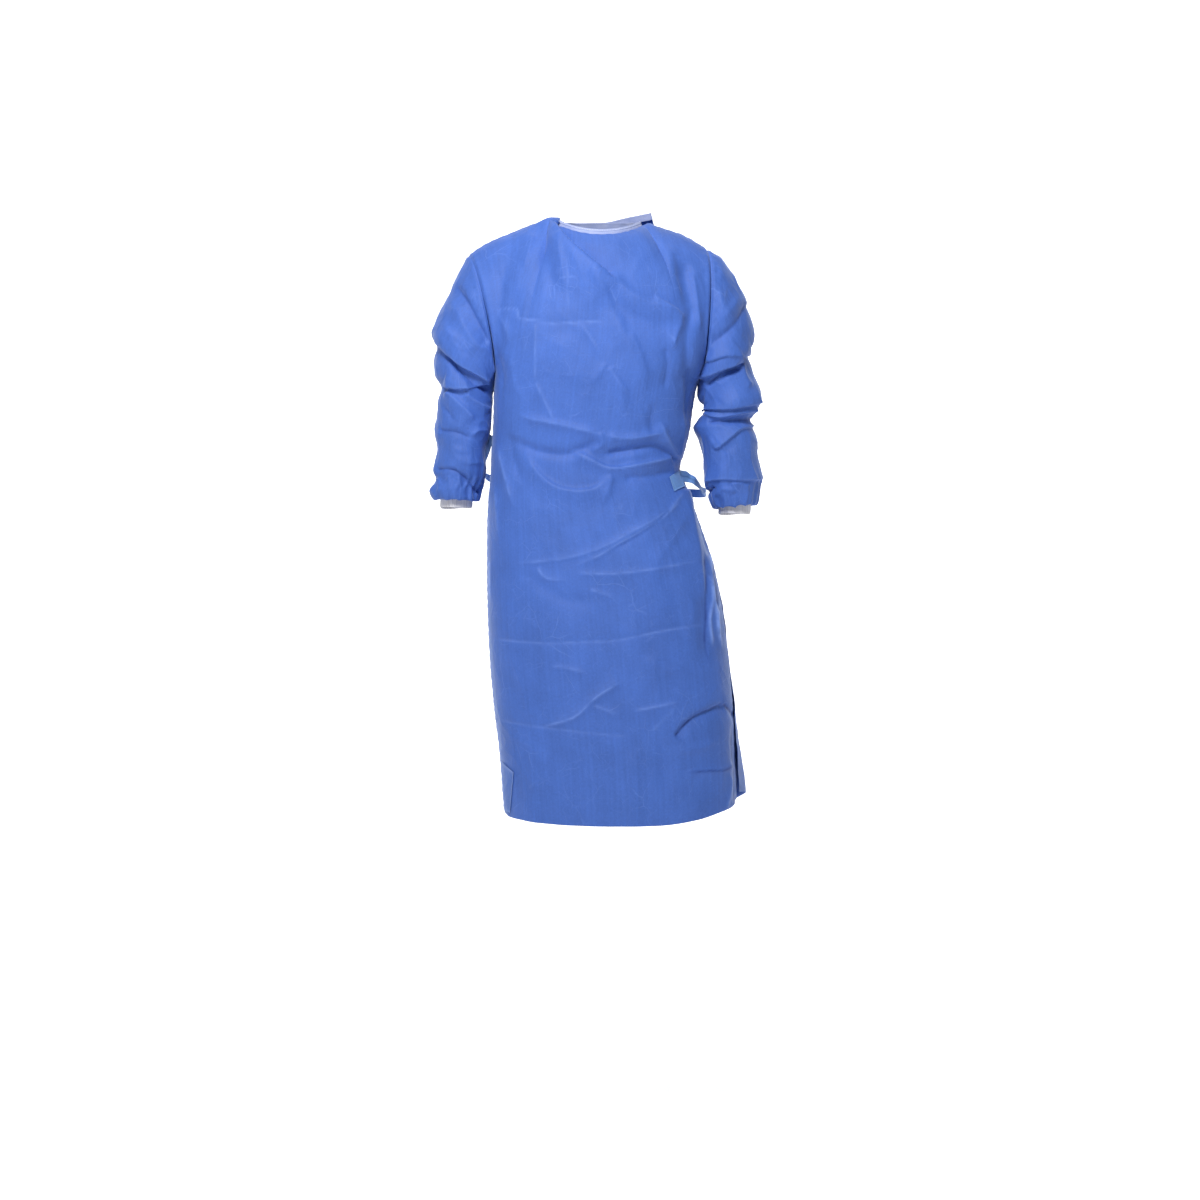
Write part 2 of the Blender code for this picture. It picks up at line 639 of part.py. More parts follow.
def main():
    """Builds every piece of the gown."""
    clear_scene()
    gown = bpy.data.collections.new("surgical_gown")
    bpy.context.scene.collection.children.link(gown)

    body = {"front": front_grid(), "back_wing": wing_grid(), "back_underwing": underwing_grid(),
            "sleeve_right": sleeve_grid(RIGHT_SLEEVE),
            "sleeve_left": [ring[:1] + ring[:0:-1] for ring in sleeve_grid(LEFT_SLEEVE)]}
    body["neck_binding"] = binding_grid(body["front"][-1], body["back_wing"][-1],
                                        body["back_underwing"][-1])
    for name in ("back_wing", "back_underwing"):
        body[name] = [row[::-1] for row in body[name]]
    sleeves = {"sleeve_right", "sleeve_left"}
    for name in sleeves:
        body[name] = body[name][::-1]
    body["neck_binding"] = [row[::-1] for row in body["neck_binding"]]
    ways = seam_ways(body, sleeves)
    seams = {
        "front": ("start", "end", "top"),
        "back_wing": ("end", "top"),
        "back_underwing": ("start", "top"),
        "sleeve_right": ("top",),
        "sleeve_left": ("top",),
        "neck_binding": ("bottom",),
    }
    for name, grid in body.items():
        binding = name == "neck_binding"
        mesh = wall_mesh(grid, ways, BINDING_WALL if binding else CLOTH_WALL, seams[name],
                         name in sleeves)
        add_node(gown, name, mesh, "binding" if binding else "gown_cloth")

    front = bpy.data.objects["front"]
    loose = {
        "cuff_right": (cuff_grid(RIGHT_SLEEVE), KNIT_WALL, "knit", True),
        "cuff_left": (cuff_grid(LEFT_SLEEVE), KNIT_WALL, "knit", True),
        "tie_patch": (laid_on_front(PATCH, 3, 3, LAID_LIFT, front), PATCH_WALL, "tie", False),
        "hem_corner": (laid_on_front(HEM_CORNER, 4, 8, LAID_LIFT, front), PATCH_WALL, "pale_cloth",
                       False),
        "tie_left": (ribbon_grid(LEFT_TIE, TIE_ROWS, LEFT_TIE_WIDTHS), TIE_WALL, "tie", False),
        "tie_right": (ribbon_grid(RIGHT_TIE, TIE_ROWS, RIGHT_TIE_WIDTHS), TIE_WALL, "tie", False),
        "tie_tail_left": (ribbon_grid(LEFT_TAIL, TAIL_ROWS, TAIL_WIDTHS), TIE_WALL, "tie", False),
        "tie_tail_right": (ribbon_grid(RIGHT_TAIL, TAIL_ROWS, TAIL_WIDTHS), TIE_WALL, "tie", False),
    }
    for name, (grid, thickness, slot, closed) in loose.items():
        own = piece_normals(grid, closed)
        add_node(gown, name, wall_mesh(grid, own, thickness, closed=closed), slot)
    add_node(gown, "tie_knot", knot_mesh(), "tie")


main()
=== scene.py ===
"""The looks of a worn surgical gown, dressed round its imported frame.

Sizes in the tables are millimetres in the gown's own frame: the wearer faces -Y, their left is +X
and the origin is the middle of the neck. Folds are drawn on the front view, in units of 1.8 mm
counted to the right and down, so that a fold lies where it is seen.
"""

from __future__ import annotations

import logging
import math
from dataclasses import dataclass
from enum import Enum

import bmesh
import bpy
import numpy as np
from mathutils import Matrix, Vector, noise
from mathutils.bvhtree import BVHTree


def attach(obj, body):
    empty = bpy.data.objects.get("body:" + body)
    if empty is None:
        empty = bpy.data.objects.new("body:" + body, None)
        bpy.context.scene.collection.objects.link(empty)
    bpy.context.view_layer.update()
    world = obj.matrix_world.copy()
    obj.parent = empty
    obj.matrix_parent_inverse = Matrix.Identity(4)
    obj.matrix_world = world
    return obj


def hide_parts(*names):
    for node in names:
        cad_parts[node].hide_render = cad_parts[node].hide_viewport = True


log = logging.getLogger("surgical_gown")

MM = 0.001
# The fold drawings: one of their units in millimetres, and the gown's origin on them.
VIEW_UNIT = 1.8
VIEW_ORIGIN = (598.0, 232.0)
# The front view: how far off it is seen from, and the place that it looks straight at.
VIEW_DISTANCE = 5000.0
VIEW_CENTRE = (3.6, -662.4)
# Further than any cloth is from a seam, and the thickness of the cloth where it is turned.
FAR = 400.0
WALL = 0.9
# The part of a random pattern's range that is used.
LOW, HIGH = 0.3, 0.7

Array = np.ndarray
Path = tuple[tuple[float, float], ...]
Point = tuple[float, float, float]
Rows = tuple[tuple[float, ...], ...]
Colour = tuple[float, float, float]
Socket = bpy.types.NodeSocket


def catmull(table: Rows | Array, share: Array) -> Array:
    """Finds places on a smooth curve through evenly spaced rows.

    Args:
        table: The rows that the curve passes through.
        share: How far along the curve each place is, from 0 to 1.

    Returns:
        One row for each share.
    """
    rows = np.asarray(table, dtype=float)
    last = len(rows) - 1
    place = np.clip(np.asarray(share, dtype=float), 0.0, 1.0) * last
    i = np.minimum(place.astype(int), last - 1)
    t = place - i
    if rows.ndim > 1:
        t = t[..., None]
    before, a = rows[np.maximum(i - 1, 0)], rows[i]
    b, after = rows[i + 1], rows[np.minimum(i + 2, last)]
    return 0.5 * (2 * a + (b - before) * t + (2 * before - 5 * a + 4 * b - after) * t**2
                  + (3 * a - before - 3 * b + after) * t**3)


def at_height(table: Rows, height: Array) -> Array:
    """Reads a table, whose first column is a height, smoothly at any heights.

    Args:
        table: Rows in order of height.
        height: The heights to read.

    Returns:
        The row worked out at each height.
    """
    rows = np.asarray(table, dtype=float)
    levels = rows[:, 0]
    slopes = np.gradient(rows, levels, axis=0)
    h = np.clip(height, levels[0], levels[-1])
    k = np.clip(np.searchsorted(levels, h, side="right") - 1, 0, len(levels) - 2)
    span = (levels[k + 1] - levels[k])[..., None]
    t = ((h - levels[k]) / span[..., 0])[..., None]
    return ((2 * t**3 - 3 * t**2 + 1) * rows[k] + (t**3 - 2 * t**2 + t) * span * slopes[k]
            + (3 * t**2 - 2 * t**3) * rows[k + 1] + (t**3 - t**2) * span * slopes[k + 1])


def ease(distance: Array, length: float) -> Array:
    """Rises smoothly from 0 at no distance to 1 at a length."""
    t = np.clip(distance / length, 0.0, 1.0) if length else np.ones_like(distance)
    return t * t * (3 - 2 * t)


def unit(ways: Array) -> Array:
    """Scales each way to a length of one."""
    return ways / np.maximum(np.linalg.norm(ways, axis=-1, keepdims=True), 1e-9)


def grid_normals(points: Array, closed: bool = False) -> Array:
    """Works out the way out at each point of a grid.

    Args:
        points: Rows of points, columns running anticlockwise seen from outside.
        closed: Whether the last column meets the first.

    Returns:
        One way of length one for each point.
    """
    up = np.gradient(points, axis=0)
    across = np.gradient(points, axis=1)
    if closed:
        across[:, 0] = across[:, -1] = (points[:, 1] - points[:, -2]) / 2
    return unit(np.cross(across, up))


@dataclass(frozen=True)
class Fold:
    """One fold drawn on the front view.

    It stands out by height, dies away over steep on the left of its path and over gentle on the
    right, and its crest leans over to the left. A sharp of 1 is a crease and of 2 a soft ridge.
    A mark paints the cloth along its path pale, partly as crease wear and partly as a painted
    highlight, or, if negative, dark as painted shade in the crease, and broad is how far aside that
    reaches.
    """

    path: Path
    height: float
    steep: float
    gentle: float
    sharp: float = 1.6
    lean: float = 0.0
    fades: tuple[float, float] = (30.0, 40.0)
    mark: float = 0.0
    broad: float = 2.1


@dataclass(frozen=True)
class FoldField:
    """A set of folds that moves the points of a cloth out and along."""

    folds: tuple[Fold, ...]
    strength: float = 1.0

    @staticmethod
    def seen(points: Array) -> Array:
        """Where points are seen on the front view, in millimetres.

        Args:
            points: Points in the gown's frame.

        Returns:
            The sideways place and height of each.
        """
        nearer = VIEW_DISTANCE / (VIEW_DISTANCE + points[..., 1])
        x = VIEW_CENTRE[0] + (points[..., 0] - VIEW_CENTRE[0]) * nearer
        z = VIEW_CENTRE[1] + (points[..., 2] - VIEW_CENTRE[1]) * nearer
        return np.stack([x, z], axis=-1)

    def apply(self, points: Array, normals: Array, calm: Array) -> tuple[Array, Array]:
        """Moves a grid of points by every fold.

        Args:
            points: The smooth cloth's points.
            normals: The way out at each.
            calm: How much of a fold each point takes, from 0 at a seam to 1.

        Returns:
            The folded points, and each one's mark: pale where crease wear and a highlight are
            painted, dark where shade is painted.
        """
        place = self.seen(points).reshape(-1, 2)
        ways = normals.reshape(-1, 3)
        moved = np.zeros_like(ways)
        marks = np.zeros(len(ways))
        for fold in self.folds:
            drawn = (np.asarray(fold.path) - VIEW_ORIGIN) * (VIEW_UNIT, -VIEW_UNIT)
            line = catmull(drawn, np.linspace(0, 1, 5 * (len(drawn) - 1) + 1))
            # Further off than this, the fold has died away.
            pad = 2.6 * max(fold.steep, fold.gentle)
            low, high = line.min(axis=0) - pad, line.max(axis=0) + pad
            near = np.flatnonzero(((place > low) & (place < high)).all(axis=1))
            if len(near):
                move, mark = self._one(fold, line, place[near], ways[near])
                moved[near] += move
                marks[near] += mark
        points = points + moved.reshape(points.shape) * calm[..., None] * self.strength
        return points, marks.reshape(points.shape[:-1])

    @staticmethod
    def _one(fold: Fold, line: Array, place: Array, ways: Array) -> tuple[Array, Array]:
        """How one fold moves and marks the points near it.

        Args:
            fold: The fold.
            line: Its path, in millimetres on the front view.
            place: Where the points are on the front view.
            ways: The way out at each.

        Returns:
            The move and the mark of each point.
        """
        step = line[1:] - line[:-1]
        length = np.linalg.norm(step, axis=1)
        way = step / length[:, None]
        start = np.concatenate([[0.0], np.cumsum(length)])
        offset = place[:, None, :] - line[None, :-1, :]
        along = np.clip((offset * way).sum(axis=2), 0.0, length)
        off = offset - way * along[..., None]
        distance = np.linalg.norm(off, axis=2)
        best = distance.argmin(axis=1)
        pick = np.arange(len(place))
        off, aside = off[pick, best], distance[pick, best]
        ahead = way[best]
        gone = start[best] + along[pick, best]
        left = ahead[:, 0] * off[:, 1] - ahead[:, 1] * off[:, 0] > 0
        reach = np.where(left, fold.steep, fold.gentle)
        ends = ease(gone, fold.fades[0]) * ease(start[-1] - gone, fold.fades[1])
        out = fold.height * ends * np.exp(-((aside / reach) ** fold.sharp))
        over = np.stack([-ahead[:, 1], np.zeros(len(place)), ahead[:, 0]], axis=1)
        over -= ways * (over * ways).sum(axis=1, keepdims=True)
        lean = fold.lean * ends * np.exp(-((aside / (1.3 * max(fold.steep, 3.0))) ** 2))
        mark = fold.mark * ends * np.exp(-((aside / fold.broad) ** 2))
        return ways * out[:, None] + over * lean[:, None], mark


@dataclass(frozen=True)
class Rumple:
    """Small creases and swells of cloth that has been packed flat and then worn."""

    swell: float = 2.0
    swell_size: float = 110.0
    crease: float = 1.3
    crease_size: float = 55.0
    stretch: float = 0.45
    seed: float = 0.0

    def height(self, points: Array) -> Array:
        """How far the cloth stands out at each point.

        Args:
            points: The cloth's points, in millimetres.

        Returns:
            One height for each.
        """
        flat = points.reshape(-1, 3)
        out = np.empty(len(flat))
        for i, (x, y, z) in enumerate(flat):
            # The swells are long upwards, and the creases run aslant.
            wide = Vector((x, y, z * self.stretch)) / self.swell_size
            fine = Vector((x + 0.35 * z, y, z * 0.8)) / self.crease_size
            shift = Vector((self.seed, 0, 0))
            ridge = 1 - abs(noise.noise(fine + shift * 3))
            out[i] = (self.swell * noise.noise(wide + shift)
                      + self.crease * (ridge**6 - 0.35) * (0.5 + noise.noise(wide * 1.7 - shift)))
        return out.reshape(points.shape[:-1])


class Side(Enum):
    """The cut panels of the gown's body."""

    FRONT = "front"
    WING = "wing"
    UNDERWING = "underwing"


@dataclass(frozen=True)
class BodyForm:
    """The smooth form of the gown's body, before its folds."""

    roundness: float = 2.5
    wing_lap: float = 7.0
    lap_share: float = 0.12
    neck_spread: float = 1.5
    underwing_tuck: float = 7.0
    tuck_share: float = 0.3
    armpit: float = -268.0
    hem: float = -1062.0
    neck_half_width: float = 78.0
    neck_front_depth: float = 84.0
    # height, right, left, wing's left, front depth, back depth
    levels: Rows = (
        (-1062, -167, 248, 268, 150, 150),
        (-995, -172, 249, 268, 149, 150),
        (-941, -176, 246, 261, 147, 148),
        (-869, -185, 243, 252, 144, 146),
        (-770, -194, 234, 243, 139, 141),
        (-680, -198, 223, 232, 134, 136),
        (-590, -199, 205, 213, 129, 129),
        (-509, -198, 177, 185, 123, 120),
        (-455, -194, 157, 164, 119, 114),
        (-428, -192, 147, 154, 118, 112),
        (-395, -191, 155, 162, 121, 113),
        (-365, -189, 163, 170, 125, 115),
        (-311, -187, 171, 178, 131, 117),
        (-268, -187, 179, 186, 133, 117),
    )
    front_hem: tuple[float, ...] = (
        -1036, -1046, -1050, -1054, -1057, -1058, -1056, -1048, -1037, -1029, -1019)
    back_hem: tuple[float, ...] = (-1036, -1046, -1046, -1042, -1032, -1019)
    wing_hem: tuple[float, ...] = (-1036, -1048, -1050, -1044, -1032, -1006)
    right_shoulder: Path = (
        (-234, -43), (-203, -23), (-160, -5), (-122, 9), (-100, 17), (-88, 19), (-78, 12))
    left_shoulder: Path = (
        (194, -32), (172, -17), (148, -5), (124, 3), (104, 9), (90, 14), (78, 9))
    front_neck: tuple[float, ...] = (12, 8, -2, -11, -15, -13, -6, 3, 10)
    underwing_neck: tuple[Point, ...] = (
        (78, 0, 9), (71, 33, 12), (50, 60, 15), (22, 74, 17), (-6, 77, 17), (-34, 72, 16))
    wing_neck: tuple[Point, ...] = (
        (-78, 0, 12), (-74, 36, 13), (-54, 68, 16), (-22, 87, 18), (16, 91, 20), (52, 84, 27),
        (98, 66, 34))
    wing_reach: Path = ((-1062, 1.0), (-770, 0.97), (-590, 0.92), (-428, 0.86), (-268, 0.80))
    underwing_start: Path = ((-1062, 0.34), (-268, 0.38))
    # outer x and z, inner x and z, front and back depth, forward bow
    right_armhole: tuple[float, ...] = (-234, -43, -187, -268, 72, 72, 13)
    left_armhole: tuple[float, ...] = (194, -32, 179, -268, 72, 72, 13)
    # The share of the wing's top that its shoulder takes.
    wing_shoulder: float = 0.3

    def out(self, share: Array) -> Array:
        """How far a half ring stands out at a share of its width, from 0 to 1."""
        return np.abs(np.sin(math.pi * share)) ** (2 / self.roundness)

    def level(self, height: Array, share: Array, side: Side) -> Array:
        """Points of the body below the armpits.

        Args:
            height: The height of each point.
            share: Its share of the way from the right side seam to the left.
            side: The panel it is on.

        Returns:
            The points.
        """
        _, right, left, wing_left, front, back = np.moveaxis(at_height(self.levels, height), -1, 0)
        far = wing_left if side is Side.WING else left
        c = -np.cos(math.pi * share)
        x = (right + far) / 2 + (far - right) / 2 * np.sign(c) * np.abs(c) ** (2 / self.roundness)
        if side is Side.FRONT:
            return np.stack([x, -front * self.out(share), height], axis=-1)
        lap = self.wing_lap * np.minimum(1.0, share / self.lap_share) if side is Side.WING else 0.0
        return np.stack([x, (back + lap) * self.out(share), height], axis=-1)

    def share(self, level: Array, across: Array, side: Side) -> Array:
        """The share round the body of a place on a panel.

        Args:
            level: The height of each place.
            across: Its share of the way across the panel.
            side: The panel.

        Returns:
            One share for each.
        """
        if side is Side.WING:
            return across * at_height(self.wing_reach, level)[..., 1]
        if side is Side.UNDERWING:
            start = at_height(self.underwing_start, level)[..., 1]
            return start + (1 - start) * across
        return across + 0 * level

    def shoulder(self, right: bool, share: Array) -> Array:
        """Points of a shoulder seam, from the armhole at 0 to the neck at 1."""
        place = catmull(self.right_shoulder if right else self.left_shoulder, share)
        return np.stack([place[..., 0], 0 * share, place[..., 1]], axis=-1)

    def neck(self, side: Side, share: Array) -> Array:
        """Points of a panel's neck edge.

        Args:
            side: The panel.
            share: The share of the way along: from the right, but the underwing's from the left.

        Returns:
            The points.
        """
        if side is Side.WING:
            return catmull(self.wing_neck, share)
        if side is Side.UNDERWING:
            return catmull(self.underwing_neck, share)
        turn = math.pi * (share - 0.5)
        return np.stack([self.neck_half_width * np.sin(turn), -self.neck_front_depth * np.cos(turn),
                         catmull(self.front_neck, share)], axis=-1)

    def top(self, across: Array, side: Side) -> Array:
        """Points of a panel's shoulder and neck edge.

        Args:
            across: Each point's share of the way across the panel.
            side: The panel.

        Returns:
            The points.
        """
        if side is Side.FRONT:
            # A quarter for each shoulder, and half for the neck.
            parts = (self.shoulder(True, across * 4), self.neck(side, across * 2 - 0.5),
                     self.shoulder(False, 4 - across * 4))
            pick = (across >= 0.25).astype(int) + (across > 0.75)
        elif side is Side.WING:
            part = self.wing_shoulder
            parts = (self.shoulder(True, across / part),
                     self.neck(side, (across - part) / (1 - part)))
            pick = (across >= part).astype(int)
        else:
            # Half for the neck, and half for the shoulder.
            parts = (self.neck(side, 1 - across * 2), self.shoulder(False, 2 - across * 2))
            pick = (across > 0.5).astype(int)
        return np.choose(pick[:, None], parts)

    def armhole(self, right: bool, rise: Array, forward: bool) -> Array:
        """Points of an armhole.

        Args:
            right: Whether it is the right one.
            rise: The share of its height above the armpit of each point.
            forward: Whether the points are on its front half.

        Returns:
            The points.
        """
        ox, oz, ix, iz, front, back, bow = self.right_armhole if right else self.left_armhole
        turn = np.arccos(np.clip(2 * rise - 1, -1, 1))
        x = ix + (ox - ix) * rise + (bow * np.sin(turn) if forward else 0.0)
        y = (-front if forward else back) * np.sin(turn)
        return np.stack([x, y, iz + (oz - iz) * rise], axis=-1)

    def chest(self, rise: Array, across: Array, side: Side) -> Array:
        """Points of a panel above the armpits.

        Args:
            rise: Each row's share of the way up.
            across: Each column's share of the way across.
            side: The panel.

        Returns:
            Rows of points.
        """
        forward = side is Side.FRONT
        level = np.full_like(across, self.armpit)
        share = self.share(level, across, side)
        base, top = self.level(level, share, side), self.top(across, side)
        right, left = self.armhole(True, rise, forward), self.armhole(False, rise, forward)
        bows = [hole[:, 0] - (row[2] + (row[0] - row[2]) * rise)
                for hole, row in ((right, self.right_armhole), (left, self.left_armhole))]
        r, s = rise[:, None], share[None, :]
        edge_x = bows[0][:, None] * (1 - s) + bows[1][:, None] * s
        edge_y = right[:, 1][:, None] * (1 - s) + left[:, 1][:, None] * s
        middle = self.level(np.array([self.armpit]), np.array([0.5]), side)[0, 1]
        if side is Side.UNDERWING:
            middle = middle - self.underwing_tuck * np.minimum(1.0, r / self.tuck_share)
        out = self.out(s)
        turn_in = 1 - np.sqrt(np.maximum(0.0, 1 - r**2))
        x = base[:, 0] + (top[:, 0] - base[:, 0]) * r ** (1 + self.neck_spread * out) + edge_x
        y = edge_y * (1 - out) + middle * out * (1 - turn_in) + top[:, 1] * turn_in
        z = base[:, 2] + (top[:, 2] - base[:, 2]) * r
        return np.stack([x, y, z], axis=-1)

    def panel(self, side: Side, columns: int, low_rows: int, high_rows: int) -> Array:
        """A panel's smooth points, from the hem up and from the right across.

        Args:
            side: The panel.
            columns: Columns of cloth.
            low_rows: Rows below the armpits.
            high_rows: Rows above them.

        Returns:
            Rows of points.
        """
        across = np.linspace(0, 1, columns + 1)
        rise = (1 - np.cos(math.pi * np.arange(1, high_rows + 1) / high_rows)) / 2
        up, along = np.meshgrid(np.linspace(0, 1, low_rows + 1), across, indexing="ij")
        share = self.share(self.hem + (self.armpit - self.hem) * up, along, side)
        edge = {Side.FRONT: self.front_hem, Side.WING: self.wing_hem,
                Side.UNDERWING: self.back_hem}[side]
        bottom = catmull(edge, share)
        low = self.level(bottom + (self.armpit - bottom) * up, share, side)
        return np.concatenate([low, self.chest(rise, across, side)])
